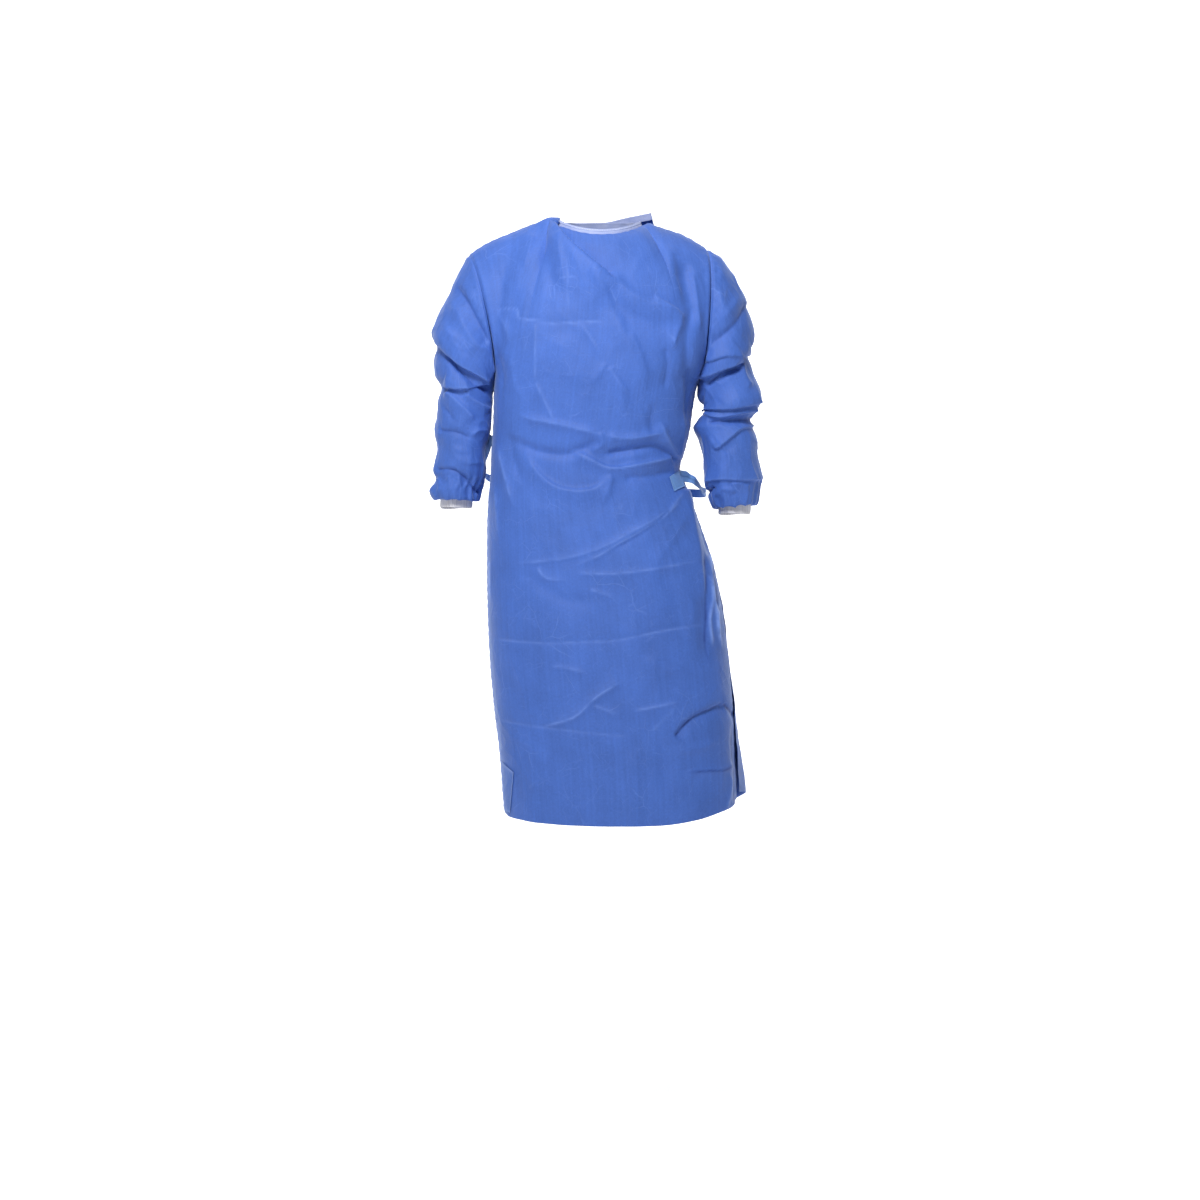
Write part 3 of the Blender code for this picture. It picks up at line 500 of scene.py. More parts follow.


# Pale marks paint creases as crease wear and highlight, dark marks paint shade into creases and
# gaps.
FRONT_FOLDS = (
    # The tuck beside the neck, with a painted shadow along its line, and its soft run across the
    # chest.
    Fold(((551, 218), (555, 229), (562, 240), (573, 251), (585, 261), (597, 271), (608, 279),
          (620, 287)), 11, 4, 44, 1.3, 6, (10, 40)),
    Fold(((557, 221), (562, 234), (570, 244), (581, 253), (593, 263), (606, 273), (616, 281)), -2,
         4, 4, 1.3, 0, (4, 20), -1.3),
    Fold(((582, 244), (592, 252), (603, 262)), -1.5, 9, 9, 2.0, 0, (14, 14)),
    Fold(((608, 272), (625, 290), (640, 300), (652, 305), (670, 311), (692, 320)), 6, 9, 26, 1.5, 1,
         (24, 50)),
    Fold(((598, 290), (620, 308), (650, 322), (679, 329)), -3, 14, 20, 2.0),
    Fold(((682, 258), (688, 286), (696, 318)), -5, 12, 18, 2.0),
    Fold(((668, 240), (672, 275), (680, 310)), 3, 12, 16, 2.0),
    Fold(((530, 226), (524, 262), (512, 300)), 3, 18, 18, 2.0),
    Fold(((545, 222), (548, 262), (558, 300)), -3, 14, 14, 2.0),
    Fold(((600, 286), (622, 330), (640, 372), (648, 408)), 3, 10, 20, 1.8, 0, (30, 60)),
    Fold(((696, 300), (688, 340), (690, 384), (684, 430)), -4, 10, 12, 1.8, 0, (30, 40)),
    Fold(((560, 330), (566, 362), (584, 392)), 2.4, 20, 24, 2.0, 0, (30, 40)),
    Fold(((506, 262), (500, 300), (498, 340)), -2.6, 10, 14, 1.8, 0, (30, 40)),
    Fold(((578, 320), (594, 342), (606, 364)), 2.2, 5, 8, 1.2, mark=0.2),
    Fold(((607, 362), (599, 374), (590, 386)), 1.8, 5, 6, 1.2, 0, (10, 16)),
    Fold(((614, 372), (622, 396), (626, 420)), 2.2, 8, 10, 1.6),
    Fold(((653, 297), (668, 308), (684, 320)), 3.4, 5, 9, 1.4, 1, (10, 6), mark=0.12),
    Fold(((684, 320), (677, 333), (672, 352)), 2.8, 5, 8, 1.4, 0, (6, 20)),
    Fold(((630, 330), (640, 352), (650, 386)), 2.2, 6, 9, 1.4, 0, (16, 30)),
    Fold(((665, 346), (668, 364), (664, 392)), -2.4, 5, 8, 1.5, 0, (14, 20)),
    Fold(((609, 366), (618, 380), (631, 397)), 2.0, 5, 7, 1.3, 0, (8, 20), mark=0.1),
    Fold(((692, 270), (697, 298), (700, 332)), 2.8, 5, 8, 1.5, 0, (14, 20)),
    Fold(((560, 236), (562, 262), (567, 292)), 2.4, 6, 10, 1.5, 0, (10, 20)),
    Fold(((536, 236), (531, 252), (524, 270)), 2.4, 5, 8, 1.4, 0, (8, 14)),
    Fold(((590, 268), (602, 288), (614, 310)), 2.4, 6, 9, 1.4, 0, (12, 20)),
    # Where the cloth was packed flat: two sharp lines across and three down.
    Fold(((494, 309), (516, 309), (519, 318), (535, 320), (553, 323), (578, 322), (611, 320)), -0.7,
         4, 4, 1.1, 0, (10, 30), mark=0.28),
    Fold(((569, 256), (568, 285), (569, 314)), -0.8, 4, 5, 1.1, 0, (20, 20), mark=0.15),
    Fold(((535, 322), (535, 350), (535, 384)), 0.9, 4, 7, 1.1, 0, (10, 20), mark=0.2),
    Fold(((535, 381), (545, 402), (556, 424)), 1.4, 4, 9, 1.2, 0, (10, 20), mark=0.2),
    Fold(((491, 639), (542, 643), (580, 642), (619, 640), (662, 631), (708, 624)), -0.8, 4, 5, 1.1,
         0, (20, 20), mark=0.3),
    Fold(((496, 719), (512, 723), (545, 728), (590, 733), (632, 737)), -0.8, 4, 5, 1.1, 0, (20, 30),
         mark=0.2),
    Fold(((683, 372), (684, 410), (683, 440), (680, 460)), 2.0, 4, 9, 1.3, 0, (30, 10), mark=0.15),
    Fold(((496, 312), (505, 325), (512, 346)), 2.4, 6, 8, mark=0.2),
    Fold(((494, 345), (502, 372), (500, 402)), -2.2, 8, 8),
    Fold(((510, 350), (514, 380), (524, 404)), 1.8, 6, 9),
    # The waist, drawn in towards the tie.
    Fold(((512, 412), (530, 419), (549, 423), (581, 430), (606, 435)), 3.8, 7, 8, 1.4, 1, (50, 40),
         0.25),
    Fold(((503, 436), (539, 451), (572, 453), (604, 437)), -3.8, 9, 9, 1.8, 0, (40, 40), -0.2),
    Fold(((524, 452), (539, 476), (562, 491), (594, 491), (612, 472)), 4.2, 6, 12, 1.4, 2, (40, 50),
         0.15),
    Fold(((566, 447), (592, 462), (611, 470), (640, 466), (674, 457)), 5.5, 6, 10, 1.3, 2, (50, 10),
         0.3),
    Fold(((600, 455), (630, 450), (655, 447), (676, 460)), -5, 7, 7, 1.7, 0, (24, 8), mark=-0.35),
    Fold(((604, 435), (627, 439), (663, 433)), 4.5, 7, 8, 1.3, 1, (20, 16), mark=0.2),
    Fold(((600, 431), (602, 444), (590, 452)), 3, 6, 6, 1.3, 0, (8, 12)),
    Fold(((660, 420), (665, 437), (677, 458)), 4.5, 6, 9, 1.3, 1, (20, 8), mark=0.25),
    Fold(((654, 400), (652, 424), (661, 446)), -3, 9, 9, 1.8),
    Fold(((640, 408), (646, 430)), 2, 7, 7),
    Fold(((612, 474), (608, 492), (600, 508)), 3.5, 7, 10, 1.5, 0, (10, 30)),
    Fold(((622, 478), (650, 476), (674, 470)), -3, 6, 8, 1.7, 0, (14, 10)),
    Fold(((498, 442), (506, 476), (515, 510)), 3.4, 6, 9, 1.3, mark=0.3),
    Fold(((495, 480), (498, 512), (499, 545)), 3.0, 6, 8, 1.3, mark=0.3),
    Fold(((508, 430), (514, 462), (524, 488)), -2.6, 8, 8),
    # The skirt below the tie.
    Fold(((684, 490), (672, 506), (655, 519), (633, 531), (600, 548), (560, 559), (507, 564)), 1.3,
         4, 7, 1.3, 0, (14, 60), mark=0.3),
    Fold(((681, 500), (662, 518), (640, 532), (618, 544), (596, 557), (570, 567)), 1.5, 4, 7, 1.2,
         0, (20, 50), mark=0.35),
    Fold(((674, 503), (655, 523), (630, 540), (604, 553)), -1.2, 5, 5, 1.6, 0, (20, 40), mark=-0.3),
    Fold(((690, 508), (672, 540), (650, 572)), 1.5, 9, 14, 1.6, 0, (20, 50)),
    Fold(((573, 572), (598, 574), (624, 573), (660, 568), (701, 560)), 1.2, 5, 8, 1.3, mark=0.34),
    Fold(((537, 566), (545, 577), (564, 581)), 1.4, 4, 5, 1.3, 0, (10, 14), mark=0.45),
    Fold(((589, 589), (602, 593), (615, 597)), 1.2, 4, 5, 1.3, 0, (10, 14), mark=0.35),
    Fold(((520, 570), (560, 596), (600, 604)), -2.0, 12, 14, 2.0),
    Fold(((550, 666), (570, 669), (589, 674)), 1.8, 5, 6, 1.2, 0, (14, 14), mark=0.25),
    Fold(((622, 681), (607, 690), (593, 700), (573, 718), (540, 727)), 3.0, 6, 11, 1.3, 0,
         (16, 30), mark=0.5),
    Fold(((590, 704), (605, 710), (622, 716)), 2.2, 5, 7, 1.3, 0, (14, 16), mark=0.28),
    Fold(((632, 711), (656, 707), (681, 701)), 1.4, 4, 6, 1.3, 0, (16, 20), mark=0.35),
    Fold(((640, 655), (662, 668), (690, 672)), 2.0, 7, 9),
    # Dark marks here paint the shade in the gap beside the outer wing and under its arcs.
    Fold(((674, 738), (686, 724), (698, 715), (712, 709), (725, 703)), -4.6, 4, 14, 1.4, 0, (10, 8),
         mark=-1.1),
    Fold(((724, 703), (732, 712), (740, 724)), -3.0, 4, 7, 1.4, 0, (4, 8), mark=-1.3),
    Fold(((685, 773), (706, 771), (724, 770), (735, 763)), 2.0, 4, 7, 1.3, 0, (14, 8), mark=-0.9),
    Fold(((672, 752), (700, 748), (722, 738)), 2.2, 7, 9),
    Fold(((733, 722), (732, 745), (734, 770), (735, 800)), -2, 4, 3, 1.5, 0, (16, 0), mark=-0.7),
    Fold(((739, 716), (738, 745), (741, 772), (742, 798)), -1, 4, 4, 1.4, 0, (20, 0), mark=-0.6),
    Fold(((729, 770), (731, 785), (727, 806)), 2, 4, 5, 1.4, 0, (20, 0), mark=0.4),
    # The crumpled cloth by the left side seam, painted pale as a highlight, and the crease beside
    # it, painted dark as shade.
    Fold(((704, 548), (706, 580), (707, 612), (706, 642), (710, 668)), -2.4, 5, 14, 1.6, 0,
         (30, 40), -0.9),
    Fold(((710, 552), (712, 580), (715, 606), (719, 640)), 2.0, 4, 4, 1.3, 0, (10, 30), 0.95, 3.0),
    Fold(((709, 574), (712, 596), (710, 622), (713, 648)), 2.0, 4, 4, 1.3, 0, (10, 20), 0.8, 2.2),
    Fold(((713, 566), (716, 590), (719, 614)), -2.0, 3, 3, 1.3, 0, (10, 10), -0.4),
    Fold(((720, 600), (717, 620), (722, 650)), 1.6, 3, 4, 1.3, 0, (10, 20), 0.9, 3.0),
    # A painted highlight along the right side's edge.
    Fold(((490, 560), (490, 584), (490, 606)), 1.0, 4, 4, 1.3, 0, (8, 30), mark=0.7),
    Fold(((665, 733), (666, 765), (667, 798)), -2.6, 14, 16, 2.0),
    Fold(((636, 744), (634, 780), (634, 828)), 2.4, 18, 18, 2.0, 0, (40, 0)),
    Fold(((585, 748), (582, 790), (580, 830)), -2.2, 20, 20, 2.0, 0, (40, 0)),
    Fold(((540, 742), (536, 790), (534, 826)), 2.6, 16, 18, 2.0, 0, (40, 0)),
    Fold(((686, 487), (692, 520), (700, 560), (706, 610)), 4, 8, 10, 1.6, 0, (10, 60)),
    Fold(((694, 500), (704, 530), (712, 566)), -3, 6, 7, 1.6, 0, (20, 40)),
    Fold(((660, 560), (676, 600), (684, 650)), -2.6, 16, 20, 2.0, 0, (40, 60)),
    Fold(((524, 600), (520, 640), (522, 700)), 2.4, 16, 20, 2.0, 0, (40, 60)),
)

WING_FOLDS = (
    Fold(((560, 226), (572, 262), (600, 300), (630, 322)), 7, 14, 22, 1.5, 2, (20, 60)),
    Fold(((640, 222), (636, 262), (628, 310)), 5, 14, 16, 1.6, 0, (20, 50)),
    Fold(((520, 300), (560, 322), (620, 330), (690, 322)), -3, 12, 14, 1.8),
    Fold(((500, 400), (550, 430), (596, 470)), 7, 9, 16, 1.4, 2, (40, 10)),
    Fold(((500, 440), (550, 462), (596, 480)), 6, 8, 14, 1.4, 1, (40, 10)),
    Fold(((688, 410), (650, 436), (606, 470)), 7, 14, 9, 1.4, 0, (40, 10)),
    Fold(((700, 450), (650, 468), (606, 480)), 5, 12, 9, 1.4, 0, (40, 10)),
    Fold(((560, 340), (580, 400), (598, 462)), 5, 12, 12, 1.6, 0, (50, 10)),
    Fold(((640, 350), (620, 410), (602, 462)), 5, 12, 12, 1.6, 0, (50, 10)),
    Fold(((600, 496), (592, 560), (570, 660)), 8, 12, 20, 1.5, 0, (12, 120)),
    Fold(((606, 496), (620, 570), (650, 680)), 8, 20, 12, 1.5, 0, (12, 120)),
    Fold(((590, 492), (560, 560), (520, 640)), 6, 12, 18, 1.5, 0, (14, 120)),
    Fold(((618, 490), (660, 560), (700, 640)), 6, 18, 12, 1.5, 0, (14, 120)),
    Fold(((500, 640), (560, 643), (640, 640), (716, 630)), -1.7, 4, 5, 1.1, 0, (20, 20)),
    Fold(((500, 728), (580, 733), (660, 734), (730, 724)), -1.6, 4, 5, 1.1, 0, (20, 20)),
    Fold(((610, 640), (611, 740), (608, 830)), 5, 20, 24, 1.8, 0, (80, 0)),
    Fold(((560, 660), (556, 750), (552, 830)), -4, 22, 22, 2.0, 0, (80, 0)),
    Fold(((668, 660), (676, 750), (682, 830)), 5, 18, 22, 1.8, 0, (80, 0)),
    Fold(((690, 600), (700, 690), (706, 790)), 4, 16, 14, 1.6, 0, (60, 0)),
)

# Marks paint the sleeve's creases dark as shade and its ridges pale, as crease wear and highlight.
RIGHT_SLEEVE_FOLDS = (
    Fold(((491, 378), (478, 371), (466, 364), (455, 355), (441, 342), (431, 326)), 8, 5, 24, 1.2, 4,
         (6, 34), mark=0.2),
    Fold(((490, 391), (474, 383), (458, 368), (446, 352)), -6, 7, 9, 1.5, 0, (8, 16), mark=-0.6),
    Fold(((490, 379), (474, 384), (459, 385), (443, 382)), 6, 4, 14, 1.2, 4, (6, 6), mark=0.2),
    Fold(((454, 284), (466, 300), (475, 316), (491, 343)), -5, 6, 12, 1.4, 0, (14, 8), mark=-0.45),
    Fold(((446, 296), (458, 312), (468, 332), (488, 356)), 4, 9, 14, 1.6),
    Fold(((438, 318), (452, 334), (470, 348)), 3, 8, 10, 1.6),
    Fold(((446, 391), (456, 401), (466, 411), (475, 421)), 4, 5, 9, 1.2, 1, (8, 14), mark=0.2),
    Fold(((464, 394), (476, 402), (490, 411)), 4, 5, 8, 1.2, 1, (8, 8), mark=0.2),
    Fold(((440, 399), (450, 416), (462, 424)), -3.5, 7, 8, 1.5, mark=-0.3),
    Fold(((438, 430), (456, 432), (473, 439)), -3.5, 5, 7, 1.2, 0, (4, 14), mark=-0.5),
    Fold(((471, 437), (478, 430), (488, 431)), 3.5, 5, 7, 1.2, 0, (8, 6)),
    Fold(((444, 442), (458, 450), (476, 452)), 2.4, 7, 9, 1.4),
    Fold(((435, 469), (452, 470), (466, 479), (480, 494)), -4.5, 4, 8, 1.2, 0, (4, 6), mark=-0.6),
    Fold(((486, 462), (470, 463), (454, 461)), 3, 4, 8, 1.3, 1),
    Fold(((448, 474), (450, 484), (448, 497)), 2.6, 4, 5, 1.3, 0, (8, 0)),
    Fold(((457, 476), (461, 486), (460, 498)), 2.8, 4, 5, 1.3, 0, (8, 0)),
    Fold(((467, 481), (471, 488), (471, 498)), 2.4, 4, 5, 1.3, 0, (6, 0)),
    Fold(((438, 476), (440, 486), (437, 496)), 2.4, 4, 5, 1.3, 0, (6, 0)),
)

# Marks paint the sleeve's creases dark as shade and its ridges pale, as crease wear and highlight.
LEFT_SLEEVE_FOLDS = (
    Fold(((744, 356), (732, 362), (717, 368), (699, 377)), 7, 5, 18, 1.2, 5, (6, 8), mark=0.2),
    Fold(((752, 351), (738, 353), (723, 354), (706, 361)), 5, 4, 12, 1.2, 3, (6, 10)),
    Fold(((742, 366), (722, 374), (704, 386)), -5, 6, 8, 1.5, 0, (8, 8), mark=-0.6),
    Fold(((709, 344), (724, 334), (738, 321), (748, 302)), -4, 7, 12, 1.4, 0, (12, 8), mark=-0.45),
    Fold(((716, 322), (730, 310), (744, 290)), 3.4, 9, 12, 1.6),
    Fold(((714, 282), (722, 300), (728, 322)), 3, 9, 10, 1.8),
    Fold(((743, 362), (745, 376), (752, 388)), 3.5, 5, 8, 1.3, 0, (8, 10)),
    Fold(((716, 384), (732, 376), (746, 372)), 2.6, 6, 8, 1.4),
    Fold(((760, 398), (744, 402), (723, 406), (704, 407)), 7, 4, 16, 1.2, 5, (4, 4)),
    Fold(((757, 408), (737, 412), (719, 416), (705, 413)), 5, 4, 6, 1.2, 2, (4, 4)),
    Fold(((752, 419), (730, 421), (706, 421)), -5, 5, 7, 1.5, 0, (4, 8), mark=-0.6),
    Fold(((753, 424), (740, 427), (731, 434), (722, 442), (713, 449)), 5, 4, 12, 1.2, 3, (4, 10),
         mark=0.15),
    Fold(((707, 430), (712, 446), (710, 470)), 3, 6, 9, 1.4),
    Fold(((716, 456), (730, 448), (742, 440)), -2.6, 8, 9, 1.6),
    Fold(((762, 477), (742, 478), (723, 477), (705, 480)), 4, 4, 11, 1.2, 2, (4, 6), mark=0.2),
    Fold(((704, 495), (710, 490), (715, 486)), -6, 3, 4, 1.3, 0, (2, 6), mark=-0.8),
    Fold(((714, 496), (724, 489), (738, 492)), 3.4, 4, 6, 1.3, 0, (6, 10)),
    Fold(((730, 484), (742, 484), (752, 488)), 2.6, 4, 6, 1.3, 0, (6, 10)),
    Fold(((746, 482), (748, 494), (745, 507)), 2.4, 4, 5, 1.3, 0, (8, 0)),
    Fold(((722, 492), (725, 500), (723, 508)), 2.4, 4, 5, 1.3, 0, (8, 0)),
    Fold(((734, 494), (736, 501), (735, 508)), 2.2, 4, 5, 1.3, 0, (8, 0)),
)

# The rings of the sleeves, from the armhole to the turned-in wrist: outer x and z, inner x and z,
# front and back depth, forward bow, gather depth.
RIGHT_SLEEVE_RINGS = (
    (-234, -43, -187, -268, 72, 72, 13, 0),
    (-258, -88, -188, -270, 73, 70, 10, 0),
    (-276, -126, -188, -276, 71, 68, 4, 0),
    (-297, -172, -189, -284, 66, 66, 0, 0),
    (-288, -203, -191, -293, 60, 61, 0, 0),
    (-294, -228, -191, -300, 60, 60, 0, 0),
    (-293, -256, -191, -307, 58, 58, 0, 0),
    (-281, -280, -192, -315, 54, 55, 0, 0),
    (-288, -308, -192, -330, 54, 56, 0, 0),
    (-291, -338, -193, -350, 55, 56, 0, 0),
    (-295, -364, -196, -368, 55, 55, 0, 0),
    (-289, -392, -202, -392, 53, 52, 0, 0),
    (-297, -428, -201, -428, 53, 51, 0, 0.3),
    (-291, -447, -206, -449, 47, 46, 0, 1.0),
    (-302, -464, -211, -466, 48, 46, 0, 1.6),
    (-296, -479, -215, -484, 43, 41, 0, 1.4),
    (-287, -477, -224, -481, 34, 33, 0, 0.5),
    (-285, -462, -226, -465, 31, 31, 0, 0),
)

LEFT_SLEEVE_RINGS = (
    (194, -32, 179, -268, 72, 72, 13, 0),
    (222, -50, 181, -270, 73, 72, 10, 0),
    (246, -83, 181, -275, 72, 72, 5, 0),
    (266, -118, 181, -284, 70, 70, 0, 0),
    (278, -160, 181, -290, 67, 67, 0, 0),
    (280, -196, 181, -297, 62, 64, 0, 0),
    (268, -221, 185, -305, 57, 62, 0, 0),
    (279, -252, 194, -315, 58, 64, 0, 0),
    (293, -290, 190, -327, 59, 68, 0, 0),
    (287, -318, 179, -340, 55, 70, 0, 0),
    (274, -342, 171, -354, 52, 70, 0, 0),
    (284, -368, 181, -376, 54, 68, 0, 0),
    (287, -398, 190, -404, 55, 58, 0, 0),
    (292, -432, 191, -434, 54, 50, 0, 0.3),
    (292, -454, 193, -457, 49, 46, 0, 0.8),
    (286, -489, 207, -495, 43, 41, 0, 1.0),
    (277, -489, 215, -493, 34, 33, 0, 0.5),
    (275, -475, 216, -478, 30, 31, 0, 0),
)


class Edge(Enum):
    """The four edges of a grid of cloth."""

    BOTTOM = "bottom"
    TOP = "top"
    LEFT = "left"
    RIGHT = "right"

    def first(self, grid: Array) -> Array:
        """Turns a grid so that this edge is its first row.

        Args:
            grid: The grid.

        Returns:
            The turned grid.
        """
        if self in (Edge.LEFT, Edge.RIGHT):
            grid = np.swapaxes(grid, 0, 1)
        return grid[::-1] if self in (Edge.TOP, Edge.RIGHT) else grid

    def back(self, grid: Array) -> Array:
        """Turns a grid back from having this edge first."""
        grid = grid[::-1] if self in (Edge.TOP, Edge.RIGHT) else grid
        return np.swapaxes(grid, 0, 1) if self in (Edge.LEFT, Edge.RIGHT) else grid


@dataclass
class Cloth:
    """A grid of cloth: where each point is, where it lies on the cut, its seams and its marks."""

    points: Array
    places: Array
    seams: Array
    marks: Array

    @classmethod
    def plain(cls, points: Array) -> Cloth:
        """Takes a grid of points as cloth with no seam and no mark."""
        away = np.full((*points.shape[:2], 2), FAR * MM)
        return cls(points, cloth_places(points), away, np.zeros(points.shape[:2]))

    def turned(self, width: float, edge: Edge) -> "Cloth":
        """Turns an edge under, so that it shows the thickness of a hem.

        Args:
            width: How far the cloth goes back under itself, in millimetres.
            edge: Which edge.

        Returns:
            The cloth with the turned strip added.
        """
        layers = [self.points, self.places, self.seams, self.marks[..., None]]
        whole = edge.first(np.concatenate(layers, axis=-1))
        points = whole[..., :3]
        normals = edge.first(grid_normals(self.points))
        gone = np.linalg.norm(np.diff(points, axis=0), axis=2).mean(axis=1).cumsum()
        last = max(2, int(np.searchsorted(gone, width)))
        under = whole[1 : last + 1].copy()
        under[..., :3] -= normals[1 : last + 1] * WALL
        lip = whole[:1].copy()
        lip[..., :3] -= normals[:1] * (WALL / 2) + unit(points[1:2] - points[:1]) * (WALL / 2)
        whole = edge.back(np.concatenate([under[::-1], lip, whole]))
        return Cloth(whole[..., :3], whole[..., 3:5], whole[..., 5:7], whole[..., 7])

    def build(self, name: str, closed: bool = False) -> bpy.types.Object:
        """Lays a grid of faces over the cloth's points.

        Args:
            name: The piece's name.
            closed: Whether the last column meets the first.

        Returns:
            The new object, in the scene.
        """
        rows, columns = self.points.shape[:2]
        mesh = bmesh.new()
        cut = mesh.loops.layers.uv.new("Cut")
        seam = mesh.loops.layers.uv.new("Seams")
        # Each point's mark: painted highlight and crease wear where positive, painted shade where
        # negative.
        crest = mesh.verts.layers.float.new("crest")
        bmesh.ops.create_grid(mesh, x_segments=columns - 1, y_segments=rows - 1, size=0.5)
        place = {}
        for vert in mesh.verts:
            i = round((vert.co.x + 0.5) * (columns - 1))
            j = round((vert.co.y + 0.5) * (rows - 1))
            place[vert] = (j, i)
            vert[crest] = self.marks[j, i]
            vert.co = self.points[j, i] * MM
        for face in mesh.faces:
            face.smooth = True
            for loop in face.loops:
                loop[cut].uv = self.places[place[loop.vert]]
                loop[seam].uv = self.seams[place[loop.vert]]
        if closed:
            bmesh.ops.remove_doubles(mesh, verts=mesh.verts[:], dist=2e-5)
        return as_object(name, mesh)


def as_object(name: str, mesh: bmesh.types.BMesh) -> bpy.types.Object:
    """Puts a finished bmesh in the scene and frees it.

    Args:
        name: The object's name.
        mesh: The bmesh.

    Returns:
        The new object.
    """
    data = bpy.data.meshes.new(name)
    mesh.to_mesh(data)
    mesh.free()
    obj = bpy.data.objects.new(name, data)
    bpy.context.scene.collection.objects.link(obj)
    return obj


def thicken(obj: bpy.types.Object, thickness: float, inward: bool = True) -> None:
    """Gives a sheet its thickness and keeps the result.

    Args:
        obj: The sheet.
        thickness: The thickness in millimetres.
        inward: Whether the sheet is the cloth's outer face.
    """
    solid = obj.modifiers.new("thickness", "SOLIDIFY")
    solid.thickness = thickness * MM
    solid.offset = -1.0 if inward else 1.0
    bake(obj)
    obj.data.shade_smooth()
    obj.data.set_sharp_from_angle(angle=math.radians(65))


def bake(obj: bpy.types.Object) -> None:
    """Keeps what a piece's modifiers make of it, in place of its mesh.

    Args:
        obj: The piece.
    """
    graph = bpy.context.evaluated_depsgraph_get()
    made = bpy.data.meshes.new_from_object(obj.evaluated_get(graph))
    old = obj.data
    obj.modifiers.clear()
    obj.data = made
    made.name = obj.name
    bpy.data.meshes.remove(old)


def wear(obj: bpy.types.Object, finish: bpy.types.Material, slot: str, *nodes: str) -> None:
    """Dresses a piece and ties it to the frame.

    Args:
        obj: The piece.
        finish: Its material.
        slot: The record's material slot for its finish; not used.
        nodes: The frame's nodes that it stands for.
    """
    obj.data.materials.clear()
    obj.data.materials.append(finish)
    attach(obj, "root")
    if nodes:
        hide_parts(*nodes)
    log.info("%s: %d faces", obj.name, len(obj.data.polygons))


def cloth_places(points: Array) -> Array:
    """Where each point of a grid lies on the flat cloth.

    Args:
        points: The grid, in millimetres.

    Returns:
        The metres along the rows and up the columns of each point.
    """
    along = np.linalg.norm(np.diff(points, axis=1), axis=2).mean(axis=0)
    up = np.linalg.norm(np.diff(points, axis=0), axis=2).mean(axis=1)
    u = np.concatenate([[0.0], np.cumsum(along)]) * MM
    v = np.concatenate([[0.0], np.cumsum(up)]) * MM
    return np.stack(np.meshgrid(u, v), axis=-1)


def edge_distances(points: Array) -> tuple[Array, Array, Array, Array]:
    """How far each point of a grid is from the grid's edges.

    Args:
        points: The grid.

    Returns:
        The distances from the first and last columns and from the first and last rows.
    """
    across = np.linalg.norm(np.diff(points, axis=1), axis=2)
    up = np.linalg.norm(np.diff(points, axis=0), axis=2)
    right = np.concatenate([np.zeros((len(points), 1)), np.cumsum(across, axis=1)], axis=1)
    below = np.concatenate([np.zeros((1, points.shape[1])), np.cumsum(up, axis=0)])
    return right, right[:, -1:] - right, below, below[-1:] - below


@dataclass(frozen=True)
class SewnEdges:
    """Which edges of a grid of cloth are sewn to others, and what the sewing does to it."""

    left: bool = False
    right: bool = False
    top: bool = False
    groove: float = 1.5
    groove_width: float = 2.6
    welt: float = 0.8
    welt_place: float = 7.0
    welt_width: float = 4.0
    pucker: float = 0.35
    pucker_place: float = 9.0
    pucker_width: float = 8.0
    pucker_length: float = 17.0

    def nearest(self, points: Array) -> tuple[Array, Array]:
        """How far each point is from a seam, and how far along it.

        Args:
            points: The cloth's points.

        Returns:
            The distance to the nearest seam and the place along it, in millimetres.
        """
        left, right, below, above = edge_distances(points)
        near = np.full(points.shape[:2], FAR)
        along = np.zeros(points.shape[:2])
        for sewn, gone, place in ((self.left, left, below), (self.right, right, below),
                                  (self.top, above, left)):
            if sewn:
                along = np.where(gone < near, place, along)
                near = np.minimum(near, gone)
        return near, along

    def relief(self, near: Array, along: Array) -> Array:
        """The groove, the welt and the puckers that the sewing leaves.

        Args:
            near: How far each point is from the seam.
            along: How far it is along the seam.

        Returns:
            One height for each.
        """
        groove = np.exp(-((near / self.groove_width) ** 2))
        welt = np.exp(-(((near - self.welt_place) / self.welt_width) ** 2))
        puckers = np.exp(-(((near - self.pucker_place) / self.pucker_width) ** 2))
        wave = np.sin(2 * math.pi * (along + 5 * np.sin(along / 31)) / self.pucker_length)
        return -self.groove * groove + self.welt * welt + self.pucker * wave * puckers


def smoothed(points: Array, height: float, reach: float, passes: int = 90) -> Array:
    """Smooths a grid up and down its columns.

    Args:
        points: The grid.
        height: The height that is smoothed most.
        reach: How far above and below it the smoothing dies away.
        passes: How many times it is smoothed.

    Returns:
        The smoothed grid.
    """
    points = points.copy()
    weight = np.exp(-(((points[1:-1, :, 2] - height) / reach) ** 2))[..., None] * 0.5
    for _ in range(passes):
        points[1:-1] += weight * ((points[:-2] + points[2:]) / 2 - points[1:-1])
    return points


@dataclass(frozen=True)
class PanelPlan:
    """How one panel is made: its grid, its folds and its cut."""

    side: Side
    node: str
    # columns, rows below the armpits and rows above them
    grid: tuple[int, int, int]
    folds: FoldField
    rumples: tuple[Rumple, ...]
    sewn: SewnEdges
    turned: tuple[tuple[Edge, float], ...]
    flat: tuple[float, float]
    area: float


